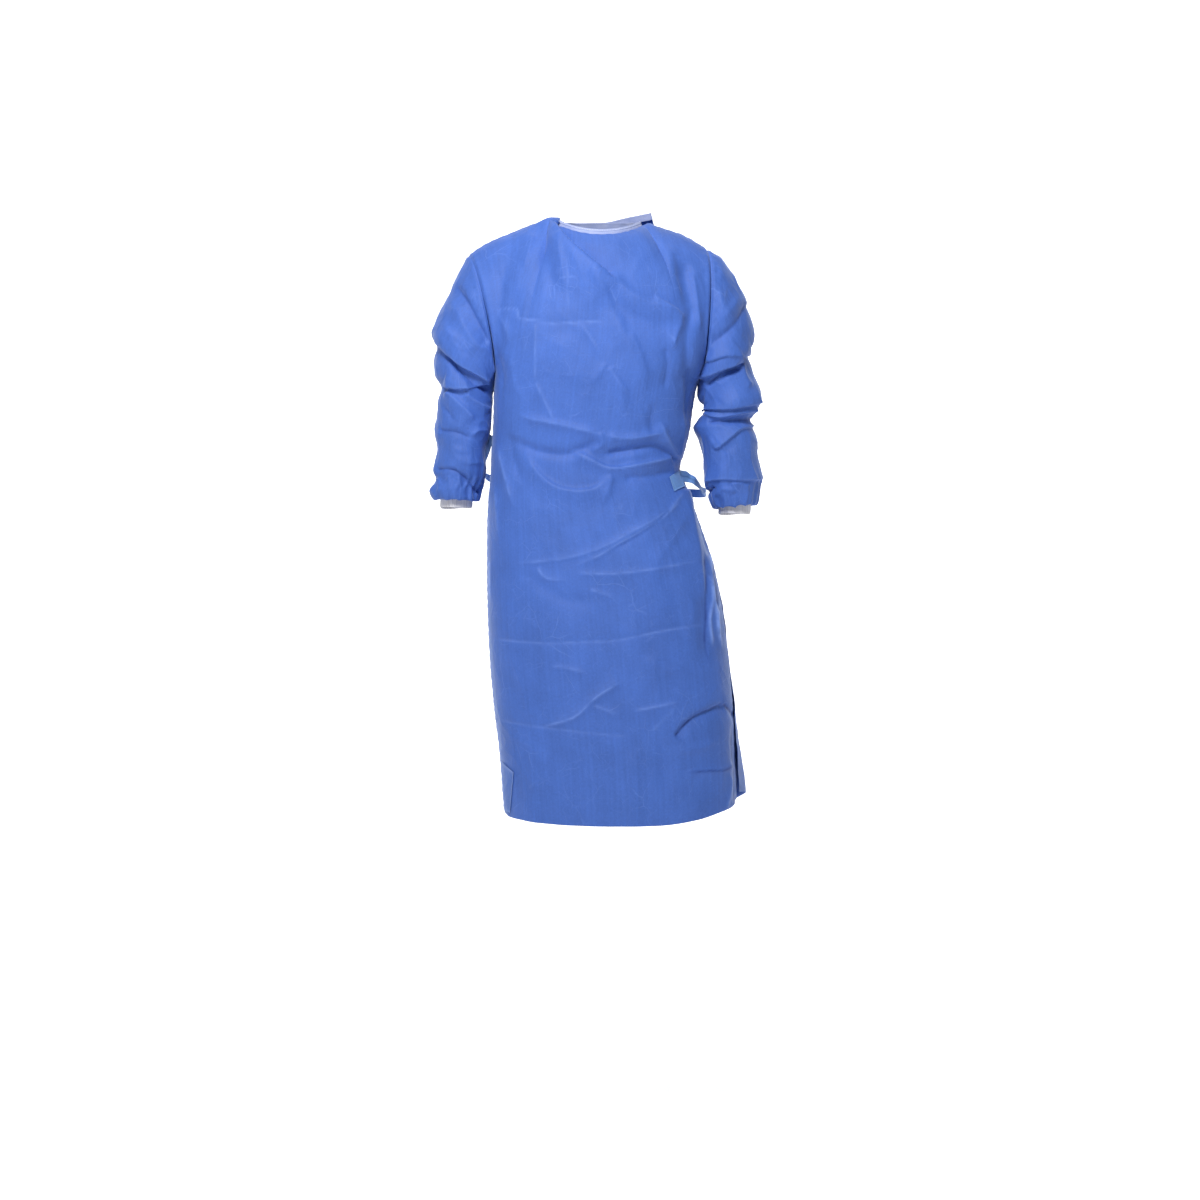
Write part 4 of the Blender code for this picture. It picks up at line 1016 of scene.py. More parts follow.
@dataclass
class BodyPanel:
    """The front or one of the two back wings."""

    form: BodyForm
    plan: PanelPlan
    finish: bpy.types.Material
    seam_calm: float = 24.0
    top_calm: float = 8.0
    frill: float = 1.8
    frill_reach: float = 24.0
    # The free edge is curled and painted pale as a highlight below its top, and its gap halves
    # below where it closes.
    curl_top: float = -440.0
    curl_grows: float = 120.0
    curl_gap: float = 4.2
    gap_closes: float = -700.0
    gap_run: float = 60.0
    curl_reach: float = 36.0
    curl_depth: float = 20.0
    pale: float = 0.9
    edge_highlight_foot: float = -820.0
    edge_highlight_run: float = 100.0
    smoothing: float = 34.0

    def cloth(self) -> Cloth:
        """Makes the panel's folded cloth.

        Returns:
            The cloth, its columns anticlockwise seen from outside.
        """
        plan = self.plan
        points = self.form.panel(plan.side, *plan.grid)
        if plan.side is not Side.FRONT:
            points = points[:, ::-1]
        points = smoothed(points, self.form.armpit, self.smoothing)
        normals = grid_normals(points)
        near, along = plan.sewn.nearest(points)
        calm = self.calm(points)
        folded, marks = plan.folds.apply(points, normals, calm)
        height = plan.sewn.relief(near, along)
        for rumple in plan.rumples:
            height = height + rumple.height(folded) * calm
        folded = folded + normals * height[..., None]
        if plan.side is Side.WING:
            move, pale = self.free_edge(points)
            folded, marks = folded + move, marks + pale
        seams = np.stack([near, along], axis=-1) * MM
        cloth = Cloth(folded, cloth_places(points), seams, marks)
        for edge, width in plan.turned:
            cloth = cloth.turned(width, edge)
        return cloth

    def calm(self, points: Array) -> Array:
        """How much of a fold each point takes: none at a seam, all a little way in.

        Args:
            points: The panel's smooth points.

        Returns:
            One number for each, from 0 to 1.
        """
        left, right, _, above = edge_distances(points)
        calm = ease(above, self.top_calm)
        if self.plan.sewn.left:
            calm = calm * ease(left, self.seam_calm)
        if self.plan.sewn.right:
            calm = calm * ease(right, self.seam_calm)
        return calm

    def free_edge(self, points: Array) -> tuple[Array, Array]:
        """The crumpled edge where the outer wing ends, curled in round the side, with a painted
        highlight.

        Args:
            points: The wing's smooth points.

        Returns:
            The move and the mark of each point.
        """
        gone = edge_distances(points)[0]
        z = points[..., 2]
        # An uneven wave that never goes below the cloth beneath.
        wave = np.sin(z / 23 + 1.5 * np.sin(z / 47)) + 0.5 * np.sin(z / 7.5 + 2)
        wave = self.frill * (0.5 + wave / 3) * np.exp(-((gone / self.frill_reach) ** 2))
        levels = at_height(self.form.levels, z)
        gap = self.curl_gap * (1 - 0.5 * ease(self.gap_closes - z, self.gap_run))
        room = np.maximum(levels[..., 3] - levels[..., 2] - gap, 0.0)
        curl = ease(self.curl_reach - gone, self.curl_reach)
        band = ease(self.curl_top - z, self.curl_grows)
        move = np.stack([-(room * curl) + wave, -self.curl_depth * curl + 0.3 * wave, 0 * z],
                        axis=-1)
        # Painted highlight: the free edge is paled where light catches it.
        pale = self.pale * np.exp(-((gone / self.curl_reach) ** 2))
        pale = pale * ease(z - self.edge_highlight_foot, self.edge_highlight_run)
        return move * band[..., None], pale * band

    def build(self) -> bpy.types.Object:
        """Makes the panel.

        Returns:
            Its object.
        """
        obj = self.cloth().build(f"{self.plan.node}_cloth")
        wear(obj, self.finish, "gown_cloth", self.plan.node)
        return obj


def panel_plans() -> tuple[PanelPlan, ...]:
    """How the front, the outer wing and the inner wing are made.

    Returns:
        One plan for each.
    """
    hem = (Edge.BOTTOM, 12.0)
    return (
        PanelPlan(Side.FRONT, "front", grid=(240, 290, 96), folds=FoldField(FRONT_FOLDS, 1.5),
                  rumples=(Rumple(1.8, 130, 1.5, 62), Rumple(0.5, 40, 0.8, 30, 0.8, 3.0)),
                  sewn=SewnEdges(left=True, right=True, top=True), turned=(hem,),
                  flat=(0.64, 1.10), area=0.60),
        PanelPlan(Side.WING, "back_wing", grid=(190, 230, 84), folds=FoldField(WING_FOLDS, 1.3),
                  rumples=(Rumple(2.4, 120, 2.0, 62, seed=4.0), Rumple(0.6, 40, 1.0, 30, 0.8, 6.0)),
                  sewn=SewnEdges(right=True, top=True), turned=(hem, (Edge.LEFT, 9.0)),
                  flat=(0.62, 1.11), area=0.55),
        PanelPlan(Side.UNDERWING, "back_underwing", grid=(110, 150, 60), folds=FoldField(()),
                  rumples=(Rumple(0.9, 130, 0.7, 60, seed=9.0),),
                  sewn=SewnEdges(left=True, top=True), turned=(hem, (Edge.RIGHT, 9.0)),
                  flat=(0.46, 1.10), area=0.40),
    )


@dataclass
class Sleeve:
    """One sleeve, full at the elbow and gathered at the wrist."""

    node: str
    folds: tuple[Fold, ...]
    finish: bpy.types.Material
    mirrored: bool
    rings: Rows
    seed: float = 0.0
    columns: int = 176
    rows: int = 260
    gathers: int = 13
    strength: float = 1.35
    armhole_calm: float = 0.05
    wrist_calm: float = 0.015
    flat: tuple[float, float] = (0.46, 0.52)
    area: float = 0.155

    def form(self) -> Array:
        """The sleeve's smooth points, from the wrist to the armhole.

        Returns:
            Rows of points whose last column repeats the first.
        """
        reach = np.linspace(0, 1, self.rows + 1)
        turn = np.linspace(0, 2 * math.pi, self.columns + 1)
        ring = catmull(self.rings, reach)
        ox, oz, ix, iz, front, back, bow, gather = (column[:, None] for column in ring.T)
        forward = turn[None, :] <= math.pi
        depth = np.where(forward, -front, -back)
        x = (ox + ix) / 2 + (ox - ix) / 2 * np.cos(turn) + np.where(forward, bow, 0) * np.sin(turn)
        z = (oz + iz) / 2 + (oz - iz) / 2 * np.cos(turn)
        y = depth * np.sin(turn)
        # The gathers bunch unevenly round the wrist.
        wave = gather * (np.cos(self.gathers * turn + 2.2 * np.sin(2 * turn + self.seed))
                         + 0.5 * np.cos(7 * turn + self.seed))
        points = np.stack([x, y, z], axis=-1)
        centre = np.stack([(ox + ix) / 2 + 0 * x, 0 * y, z], axis=-1)
        points = points + unit(points - centre) * wave[..., None]
        return points[::-1, ::-1] if self.mirrored else points[::-1]

    def cloth(self) -> Cloth:
        """Adds the folds, the seam and the small creases to the sleeve's form.

        Returns:
            The cloth.
        """
        points = self.form()
        normals = grid_normals(points, closed=True)
        rows = np.linspace(1, 0, len(points))[:, None] + 0 * points[..., 0]
        calm = ease(rows, self.armhole_calm) * ease(1 - rows, self.wrist_calm)
        folded, marks = FoldField(self.folds, self.strength).apply(points, normals, calm)
        sewn = SewnEdges(top=True)
        near, along = sewn.nearest(points)
        height = sewn.relief(near, along)
        for rumple in (Rumple(2.8, 70, 3.0, 46, 0.8, self.seed),
                       Rumple(0.7, 34, 1.3, 24, 0.9, self.seed + 5)):
            height = height + rumple.height(folded) * calm
        folded = folded + normals * height[..., None]
        folded[:, -1] = folded[:, 0]
        marks[:, -1] = marks[:, 0]
        seams = np.stack([near, along], axis=-1) * MM
        return Cloth(folded, cloth_places(points), seams, marks)

    def build(self) -> None:
        """Makes the sleeve."""
        obj = self.cloth().build(f"{self.node}_cloth", closed=True)
        wear(obj, self.finish, "gown_cloth", self.node)


@dataclass
class KnitCuff:
    """A white ribbed cuff whose end shows under the sleeve."""

    node: str
    centre: tuple[float, float]
    half: tuple[float, float]
    top: float
    bottom: float
    finish: bpy.types.Material
    ribs: int = 46
    rib: float = 0.3
    roll: float = 1.2
    roll_share: float = 0.06
    swell: float = 0.7
    sag: float = 0.8
    inset: float = 0.6
    thickness: float = 0.8
    columns: int = 276
    rows: int = 22
    flat: tuple[float, float] = (0.19, 0.038)

    def build(self) -> None:
        """Makes the cuff's tube, with its ribs and its rolled lower edge."""
        turn = np.linspace(0, 2 * math.pi, self.columns + 1)[None, :]
        up = np.linspace(0, 1, self.rows + 1)[:, None]
        rib = self.rib * np.cos(self.ribs * turn)
        roll = -self.roll * np.exp(-((up / self.roll_share) ** 2))
        swell = self.swell * np.sin(3 * turn + 4 * up)
        x = self.centre[0] + (self.half[0] - self.inset + rib + roll + swell) * np.cos(turn)
        y = self.centre[1] + (self.half[1] - self.inset + rib + roll + swell) * np.sin(turn)
        sag = self.sag * np.sin(2 * turn) * (1 - up)
        z = self.bottom + (self.top - self.bottom) * up + sag
        obj = Cloth.plain(np.stack([x, y, z], axis=-1)).build(f"{self.node}_knit", closed=True)
        thicken(obj, self.thickness)
        wear(obj, self.finish, "knit", self.node)


@dataclass
class NeckBinding:
    """The folded tape round the neck edge, out to the end of the wing's tab."""

    form: BodyForm
    finish: bpy.types.Material
    width: float = 9.5
    lean: float = 3.0
    depth: float = 1.5
    proud: float = 0.6
    steps: int = 360
    around: int = 44
    # How high each ripple along the tape is, how close its waves are, and its shift.
    ripples: Rows = ((0.35, 173, 0), (0.3, 71, 2))
    flat: tuple[float, float] = (0.022, 0.70)
    # out from the neck and up the tape, from its inner edge over its fold to its outer edge
    section: Path = ((-0.6, -0.3), (-0.62, 0.25), (-0.5, 0.5), (-0.6, 0.75), (-0.42, 0.95),
                     (0.0, 1.0), (0.42, 0.95), (0.68, 0.77), (0.66, 0.58), (0.26, 0.5),
                     (0.66, 0.42), (0.78, 0.2), (0.66, -0.2))

    def edge(self) -> Array:
        """The whole neck edge.

        Returns:
            Evenly spaced points from the underwing's free edge to the tab.
        """
        runs = (self.form.neck(Side.UNDERWING, np.linspace(1, 0, 60)),
                self.form.neck(Side.FRONT, np.linspace(1, 0, 90)),
                self.form.neck(Side.WING, np.linspace(0, 1, 90)))
        line = np.concatenate([runs[0], runs[1][1:], runs[2][1:]])
        gone = np.concatenate([[0], np.cumsum(np.linalg.norm(np.diff(line, axis=0), axis=1))])
        even = np.linspace(0, gone[-1], self.steps + 1)
        return np.stack([np.interp(even, gone, line[:, k]) for k in range(3)], axis=-1)

    def build(self) -> None:
        """Makes the tape: a fold over the neck edge, sewn through along its middle."""
        line = self.edge()
        away = unit(line * (1, 1, 0))
        ring = catmull(self.section, np.linspace(0, 1, self.around))
        tilt = -away * self.lean + np.array((0, 0, self.width))
        points = (line[None] + away[None] * (ring[:, 0, None, None] * self.depth + self.proud)
                  + tilt[None] * ring[:, 1, None, None])
        place = np.linspace(0, 1, self.steps + 1)[None, :]
        wave = sum(high * np.sin(place * close + shift) for high, close, shift in self.ripples)
        points = points + away[None] * (wave * ring[:, 1:2])[..., None]
        obj = Cloth.plain(points[:, ::-1]).build("neck_binding_tape")
        wear(obj, self.finish, "binding", "neck_binding")


@dataclass
class Ribbon:
    """A tie of light blue cloth, both its edges folded in to meet along its middle."""

    node: str
    route: tuple[Point, ...]
    widths: tuple[float, ...]
    finish: bpy.types.Material
    flat: tuple[float, float]
    turns: tuple[float, ...] = (0.0, 0.0)
    rows: int = 170
    columns: int = 44
    depth: float = 1.3
    # across the tie and out from it, from one cut edge round the back to the other
    section: Path = ((0.02, 0.1), (0.1, 0.5), (0.27, 0.6), (0.45, 0.45), (0.5, 0.0), (0.45, -0.45),
                     (0.0, -0.5), (-0.45, -0.45), (-0.5, 0.0), (-0.45, 0.45), (-0.27, 0.6),
                     (-0.1, 0.5), (-0.02, 0.1))

    def build(self) -> None:
        """Makes the tie."""
        share = np.linspace(0, 1, self.rows + 1)
        line = catmull(self.route, share)
        ahead = unit(np.gradient(line, axis=0))
        across = unit(np.cross(ahead, unit(line * (1, 1, 0))))
        face = unit(np.cross(across, ahead))
        turn = np.radians(catmull(self.turns, share))[:, None]
        across, face = (across * np.cos(turn) + face * np.sin(turn),
                        face * np.cos(turn) - across * np.sin(turn))
        wide = catmull(self.widths, share)[:, None]
        ring = catmull(self.section, np.linspace(0, 1, self.columns + 1))
        v, out = ring[:, 0][None], ring[:, 1][None] * self.depth
        # It twists to and fro, waves out and in, and leans to one side and the other.
        ripple = (0.7 * np.sin(share * 23)[:, None] * v * 2 + 0.4 * np.sin(share * 61 + 1)[:, None]
                  + 0.5 * np.sin(share * 37 + 2)[:, None] * v)
        points = (line[:, None] + across[:, None] * (wide * v)[..., None]
                  + face[:, None] * (out + ripple)[..., None])
        obj = Cloth.plain(points[:, ::-1]).build(f"{self.node}_ribbon")
        wear(obj, self.finish, "tie", self.node)


@dataclass
class TieKnot:
    """The soft knot behind the gown, with the wraps of the tie round it."""

    finish: bpy.types.Material
    centre: Point = (1.0, 166.0, -458.0)
    size: Point = (36.0, 15.0, 26.0)
    slant: float = 0.45
    wraps: float = 2.2
    wrap_depth: float = 0.16
    pinch: float = 0.22
    softness: float = 0.06

    def build(self) -> None:
        """Makes the knot from a round shape with the wraps pressed into it."""
        mesh = bmesh.new()
        layer = mesh.loops.layers.uv.new("Cut")
        bmesh.ops.create_uvsphere(mesh, u_segments=80, v_segments=48, radius=1.0)
        for vert in mesh.verts:
            x, y, z = vert.co
            slant = x + self.slant * z
            wrap = abs(math.sin(self.wraps * slant * math.pi + 0.6))
            wrap = 1 - self.wrap_depth + self.wrap_depth * wrap
            pinch = 1 - self.pinch + self.pinch * min(1.0, abs(x) * 1.2)
            soft = self.softness * noise.noise(Vector((x, y, z)) * 2.4)
            spot = Vector((x * self.size[0], y * self.size[1] * (wrap + soft),
                           z * self.size[2] * pinch * (wrap + soft))) / 2
            vert.co = (spot + Vector(self.centre)) * MM
        for face in mesh.faces:
            face.smooth = True
            for loop in face.loops:
                loop[layer].uv = (loop.vert.co.x, loop.vert.co.z)
        obj = as_object("tie_knot_wraps", mesh)
        wear(obj, self.finish, "tie", "tie_knot")


@dataclass
class LaidPiece:
    """A small flat piece that lies on the front."""

    name: str
    node: str
    slot: str
    corners: Path
    finish: bpy.types.Material
    front: bpy.types.Object
    flat: tuple[float, float]
    columns: int = 26
    rows: int = 40
    lift: float = 0.5
    curl: float = 0.9
    rim_highlight: float = 0.5
    thickness: float = 0.5

    def build(self) -> None:
        """Lays the piece's points on the front's face, a little proud of it."""
        tree = BVHTree.FromObject(self.front, bpy.context.evaluated_depsgraph_get())
        low_left, low_right, high_right, high_left = (np.asarray(c, float) for c in self.corners)
        points = np.zeros((self.rows + 1, self.columns + 1, 3))
        marks = np.zeros(points.shape[:2])
        for j in range(self.rows + 1):
            for i in range(self.columns + 1):
                s, t = i / self.columns, j / self.rows
                flat = ((low_left * (1 - s) + low_right * s) * (1 - t)
                        + (high_left * (1 - s) + high_right * s) * t)
                place, normal, _, _ = tree.ray_cast(Vector((flat[0], -FAR, flat[1])) * MM,
                                                    Vector((0, 1, 0)))
                # The curled rim is a ninth of the piece, and is painted pale there as a highlight.
                rim = (1 - min(1.0, min(s, 1 - s, t, 1 - t) * 9)) ** 2
                proud = self.lift + self.curl * rim
                points[j, i] = np.array(place) / MM + np.array(normal) * proud
                marks[j, i] = self.rim_highlight * rim
        cloth = Cloth.plain(points)
        cloth.marks = marks
        obj = cloth.build(self.name)
        thicken(obj, self.thickness, inward=False)
        wear(obj, self.finish, self.slot, self.node)


@dataclass(frozen=True)
class Grain:
    """A random pattern on cloth, so many cells to a metre along and up.

    Its shift is how far it makes the cloth's tone lighter and darker.
    """

    along: float
    up: float
    shift: float = 0.0
    detail: float = 3.0
    rough: float = 0.6


class Nodes:
    """A short way to lay out a material's nodes."""

    def __init__(self, name: str) -> None:
        """Starts a material with its shader and the cloth's place on its cut.

        Args:
            name: The material's name.
        """
        self.material = bpy.data.materials.new(name)
        self.material.use_nodes = True
        self.tree = self.material.node_tree
        self.shader = self.tree.nodes["Principled BSDF"]
        self.cut = self.add("ShaderNodeUVMap", {"uv_map": "Cut"}, {}).outputs["UV"]

    def add(self, kind: str, settings: dict[str, object],
            links: dict[str, Socket]) -> bpy.types.Node:
        """Adds a node.

        Args:
            kind: Its type.
            settings: Its properties, and the values of inputs, by name.
            links: For each input, the output that feeds it.

        Returns:
            The node.
        """
        node = self.tree.nodes.new(kind)
        for key, value in settings.items():
            if key in node.inputs:
                node.inputs[key].default_value = value
            else:
                setattr(node, key, value)
        for key, output in links.items():
            self.tree.links.new(output, node.inputs[key])
        return node

    def grain(self, grain: Grain) -> Socket:
        """A soft random pattern.

        Args:
            grain: Its sizes.

        Returns:
            One number at each place, mostly from LOW to HIGH.
        """
        scale = self.add("ShaderNodeMapping", {"Scale": (grain.along, grain.up, 1)},
                         {"Vector": self.cut})
        node = self.add("ShaderNodeTexNoise", {"Scale": 1.0, "Detail": grain.detail,
                                               "Roughness": grain.rough},
                        {"Vector": scale.outputs["Vector"]})
        return node.outputs["Fac"]

    def ramp(self, value: Socket, low: float, high: float, to_low: float,
             to_high: float) -> Socket:
        """Takes a number from one range to another.

        Args:
            value: The number.
            low: The start of its range.
            high: The end of it.
            to_low: What the start becomes.
            to_high: What the end becomes.

        Returns:
            The new number.
        """
        node = self.add("ShaderNodeMapRange", {"From Min": low, "From Max": high, "To Min": to_low,
                                               "To Max": to_high}, {"Value": value})
        return node.outputs["Result"]

    def join(self, kind: str, a: Socket, b: Socket | float = 0.0) -> Socket:
        """Works out one number from two, or from one.

        Args:
            kind: The sum to do.
            a: The first number.
            b: The second.

        Returns:
            The result.
        """
        node = self.add("ShaderNodeMath", {"operation": kind}, {})
        for socket, value in zip(node.inputs, (a, b)):
            if isinstance(value, float):
                socket.default_value = value
            else:
                self.tree.links.new(value, socket)
        return node.outputs["Value"]

    def tint(self, colour: Colour, factor: Socket) -> Socket:
        """Makes a colour lighter or darker.

        Args:
            colour: The colour.
            factor: The number that it is multiplied by.

        Returns:
            The new colour.
        """
        node = self.add("ShaderNodeVectorMath", {"operation": "SCALE"}, {"Scale": factor})
        node.inputs[0].default_value = colour
        return node.outputs["Vector"]

    def blend(self, factor: Socket, a: Socket | Colour, b: Socket | Colour) -> Socket:
        """Mixes two colours.

        Args:
            factor: How much of the second there is, from 0 to 1.
            a: The first colour.
            b: The second.

        Returns:
            The mixture.
        """
        node = self.add("ShaderNodeMix", {"data_type": "RGBA"}, {})
        self.tree.links.new(factor, node.inputs["Factor"])
        for socket, value in ((node.inputs[6], a), (node.inputs[7], b)):
            if isinstance(value, tuple):
                socket.default_value = (*value, 1.0)
            else:
                self.tree.links.new(value, socket)
        return node.outputs[2]

    def feed(self, value: Socket, socket: str) -> None:
        """Feeds one of the shader's sockets."""
        self.tree.links.new(value, self.shader.inputs[socket])

    def bump(self, *layers: tuple[Socket, float, float]) -> None:
        """Feeds the shader's normal.

        Args:
            layers: The heights that make it, each with a strength and a distance in metres.
        """
        below = None
        for height, strength, distance in layers:
            links = {"Height": height} if below is None else {"Height": height, "Normal": below}
            node = self.add("ShaderNodeBump", {"Strength": strength, "Distance": distance}, links)
            below = node.outputs["Normal"]
        self.feed(below, "Normal")

    def crinkle(self, cell: float, width: float) -> Socket:
        """Short straight lines where the cloth has been creased, in patches.

        Args:
            cell: How many creased facets there are to a metre.
            width: How wide a line is, in metres.

        Returns:
            One number, 1 along a line.
        """
        # The cloth is pushed about by up to 14 mm first, so that no line is quite straight.
        warp = self.add("ShaderNodeTexNoise", {"Scale": 30.0, "Detail": 2.0}, {"Vector": self.cut})
        push = self.add("ShaderNodeVectorMath", {"operation": "MULTIPLY_ADD"},
                        {0: warp.outputs["Color"]})
        push.inputs[1].default_value = (0.014, 0.014, 0.0)
        self.tree.links.new(self.cut, push.inputs[2])
        lines = self.add("ShaderNodeTexVoronoi", {"feature": "DISTANCE_TO_EDGE", "Scale": cell},
                         {"Vector": push.outputs["Vector"]})
        line = self.ramp(lines.outputs["Distance"], 0.0, width * cell, 1.0, 0.0)
        patch = self.ramp(self.grain(Grain(cell * 0.8, cell * 0.6, detail=1.0, rough=0.5)),
                          0.5, 0.68, 0.0, 1.0)
        return self.join("MULTIPLY", line, patch)

    def off(self, value: Socket, place: float) -> Socket:
        """How far a number is from a place."""
        return self.join("ABSOLUTE", self.join("SUBTRACT", value, place))

    def stitches(self, off: Socket, along: Socket, length: float, thread: float) -> Socket:
        """A row of stitches.

        Args:
            off: How far each place is from the row, in metres.
            along: How far it is along the row.
            length: The length of a stitch and its gap.
            thread: Half the thread's width.

        Returns:
            One number, 1 on a stitch.
        """
        # The thread is round, and shows along about seven tenths of each length.
        on = self.ramp(off, thread * 0.6, thread, 1.0, 0.0)
        step = self.join("FRACT", self.join("DIVIDE", along, length))
        return self.join("MULTIPLY", on, self.ramp(self.off(step, 0.5), 0.3, 0.38, 1.0, 0.0))


@dataclass(frozen=True)
class NonwovenCloth:
    """Bonded nonwoven cloth: fine fibres, small bond points, pale creases, sewn seams, and painted
    highlights and shade along the folds.
    """

    name: str
    colour: Colour
    # pale is what creases fade to as wear and what painted highlights take; dark is painted shade
    # in creases and gaps, and the stitches.
    pale: Colour
    dark: Colour
    roughness: float = 0.62
    sheen: float = 0.3
    sheen_tint: Colour = (0.55, 0.7, 1.0)
    specular: float = 0.32
    crinkle: float = 0.36
    clouds: Grain = Grain(16, 11, 0.09)
    fibres: Grain = Grain(1500, 240, 0.08)
    across: Grain = Grain(260, 1300, 0.03, detail=2.0)
    mottle: Grain = Grain(240, 240, 0.06)
    streaks: Grain = Grain(210, 5, 0.05, detail=2.0, rough=0.5)
    breaks: Grain = Grain(46, 46, detail=2.0, rough=0.5)
    # Facets to a metre, and how wide the creases between them are, in metres.
    large_creases: tuple[float, float] = (22.0, 0.0009)
    small_creases: tuple[float, float] = (58.0, 0.0007)
    bonds: float = 620.0
    stitch_row: float = 0.0042
    stitch_length: float = 0.0034
    thread: float = 0.00045

    def material(self) -> bpy.types.Material:
        """Lays out the cloth's material.

        Returns:
            The material.
        """
        n = Nodes(self.name)
        cloud, mottle, fibres = (n.grain(g) for g in (self.clouds, self.mottle, self.fibres))
        large, small = n.crinkle(*self.large_creases), n.crinkle(*self.small_creases)
        crease = n.join("MAXIMUM", large, n.join("MULTIPLY", small, 0.6))
        bonds = n.add("ShaderNodeTexVoronoi", {"feature": "F1", "Scale": self.bonds,
                                               "Randomness": 0.25}, {"Vector": n.cut})
        bond = n.ramp(bonds.outputs["Distance"], 0.0, 0.5, 0.0, 1.0)
        seams = n.add("ShaderNodeUVMap", {"uv_map": "Seams"}, {}).outputs["UV"]
        parts = n.add("ShaderNodeSeparateXYZ", {}, {"Vector": seams})
        stitch = n.stitches(n.off(parts.outputs["X"], self.stitch_row), parts.outputs["Y"],
                            self.stitch_length, self.thread)
        # The folds' marks: painted highlight and crease wear where positive, painted shade where
        # negative.
        mark = n.add("ShaderNodeAttribute", {"attribute_name": "crest"}, {}).outputs["Fac"]
        mark = n.join("MULTIPLY", mark, n.ramp(n.grain(self.breaks), 0.36, 0.6, 0.4, 1.0))

        tone = n.ramp(cloud, LOW, HIGH, 1 - self.clouds.shift, 1 + self.clouds.shift)
        for pattern, shift in ((fibres, self.fibres.shift),
                               (n.grain(self.across), self.across.shift),
                               (mottle, self.mottle.shift),
                               (n.grain(self.streaks), self.streaks.shift)):
            tone = n.join("ADD", tone, n.ramp(pattern, LOW, HIGH, -shift, shift))
        body = n.tint(self.colour, tone)
        # Creases pale as wear; the marks paint highlights pale and shade dark.
        paled = n.join("MAXIMUM", n.join("MULTIPLY", crease, self.crinkle * 0.5), mark)
        body = n.blend(n.ramp(paled, 0.0, 1.0, 0.0, 1.0), body, self.pale)
        body = n.blend(n.ramp(mark, -1.0, 0.0, 1.0, 0.0), body, self.dark)
        n.feed(n.blend(n.join("MULTIPLY", stitch, 0.5), body, self.dark), "Base Color")
        n.feed(n.ramp(mottle, LOW, HIGH, self.roughness - 0.05, self.roughness + 0.07),
               "Roughness")
        n.shader.inputs["Sheen Weight"].default_value = self.sheen
        n.shader.inputs["Sheen Roughness"].default_value = 0.35
        n.shader.inputs["Sheen Tint"].default_value = (*self.sheen_tint, 1.0)
        n.shader.inputs["Specular IOR Level"].default_value = self.specular
        n.bump((crease, self.crinkle, 0.0007), (cloud, 0.3, 0.003), (fibres, 0.6, 0.00025),
               (bond, 0.3, 0.00014), (stitch, 0.6, 0.0003))
        return n.material


@dataclass(frozen=True)
class WovenTape:
    """The pale binding: a fine cross weave with stitches along its middle."""

    name: str
    colour: Colour
    dark: Colour
    thread_colour: Colour = (0.7, 0.74, 0.85)
    weave: float = 300.0
    mottle: Grain = Grain(500, 500)
    stains: Grain = Grain(40, 40, detail=2.0, rough=0.5)
    stitch_row: float = 0.0161
    stitch_length: float = 0.0030
    thread: float = 0.0005

    def material(self) -> bpy.types.Material:
        """Lays out the tape's material.

        Returns:
            The material.
        """
        n = Nodes(self.name)
        ribs = n.add("ShaderNodeTexWave", {"Scale": self.weave, "Distortion": 0.8},
                     {"Vector": n.cut})
        mottle = n.grain(self.mottle)
        parts = n.add("ShaderNodeSeparateXYZ", {}, {"Vector": n.cut})
        off = n.off(parts.outputs["Y"], self.stitch_row)
        stitch = n.stitches(off, parts.outputs["X"], self.stitch_length, self.thread)
        tone = n.join("ADD", n.ramp(mottle, LOW, HIGH, 0.9, 1.08),
                      n.ramp(ribs.outputs["Fac"], 0.0, 1.0, -0.06, 0.04))
        groove = n.ramp(off, 0.0, 0.0016, 0.75, 0.0)
        stain = n.ramp(n.grain(self.stains), 0.35, 0.65, 0.0, 0.4)
        shade = n.join("MAXIMUM", stain, groove)
        body = n.blend(shade, n.tint(self.colour, tone), self.dark)
        n.feed(n.blend(stitch, body, self.thread_colour), "Base Color")
        n.feed(n.ramp(mottle, LOW, HIGH, 0.62, 0.78), "Roughness")
        n.shader.inputs["Sheen Weight"].default_value = 0.2
        n.bump((ribs.outputs["Fac"], 0.5, 0.0002), (mottle, 0.3, 0.0002), (stitch, 0.7, 0.0004))
        return n.material


@dataclass(frozen=True)
class RibKnit:
    """White cotton rib: loops in columns, with a soft fuzz."""

    name: str
    colour: Colour
    shade: Colour
    ribs: float = 245.0
    loops: float = 260.0
    fuzz: Grain = Grain(900, 900, rough=0.7)

    def material(self) -> bpy.types.Material:
        """Lays out the knit's material.

        Returns:
            The material.
        """
        n = Nodes(self.name)
        columns = n.add("ShaderNodeTexWave", {"Scale": self.ribs / 2, "Distortion": 0.4},
                        {"Vector": n.cut})
        loops = n.add("ShaderNodeTexWave", {"Scale": self.loops, "bands_direction": "Y",
                                            "Distortion": 1.2}, {"Vector": n.cut})
        fuzz = n.grain(self.fuzz)
        depth = n.join("ADD", n.ramp(columns.outputs["Fac"], 0, 1, 0.0, 0.7),
                       n.ramp(loops.outputs["Fac"], 0, 1, 0.0, 0.3))
        n.feed(n.blend(depth, self.shade, self.colour), "Base Color")
        n.feed(n.ramp(fuzz, LOW, HIGH, 0.82, 0.98), "Roughness")
        n.shader.inputs["Sheen Weight"].default_value = 0.4
        n.bump((depth, 0.6, 0.0005), (fuzz, 0.4, 0.0002))
        return n.material


@dataclass(frozen=True)
class Lamp:
    """A square soft light: its place and size in metres, and its power."""

    name: str
    place: Point
    size: float
    power: float


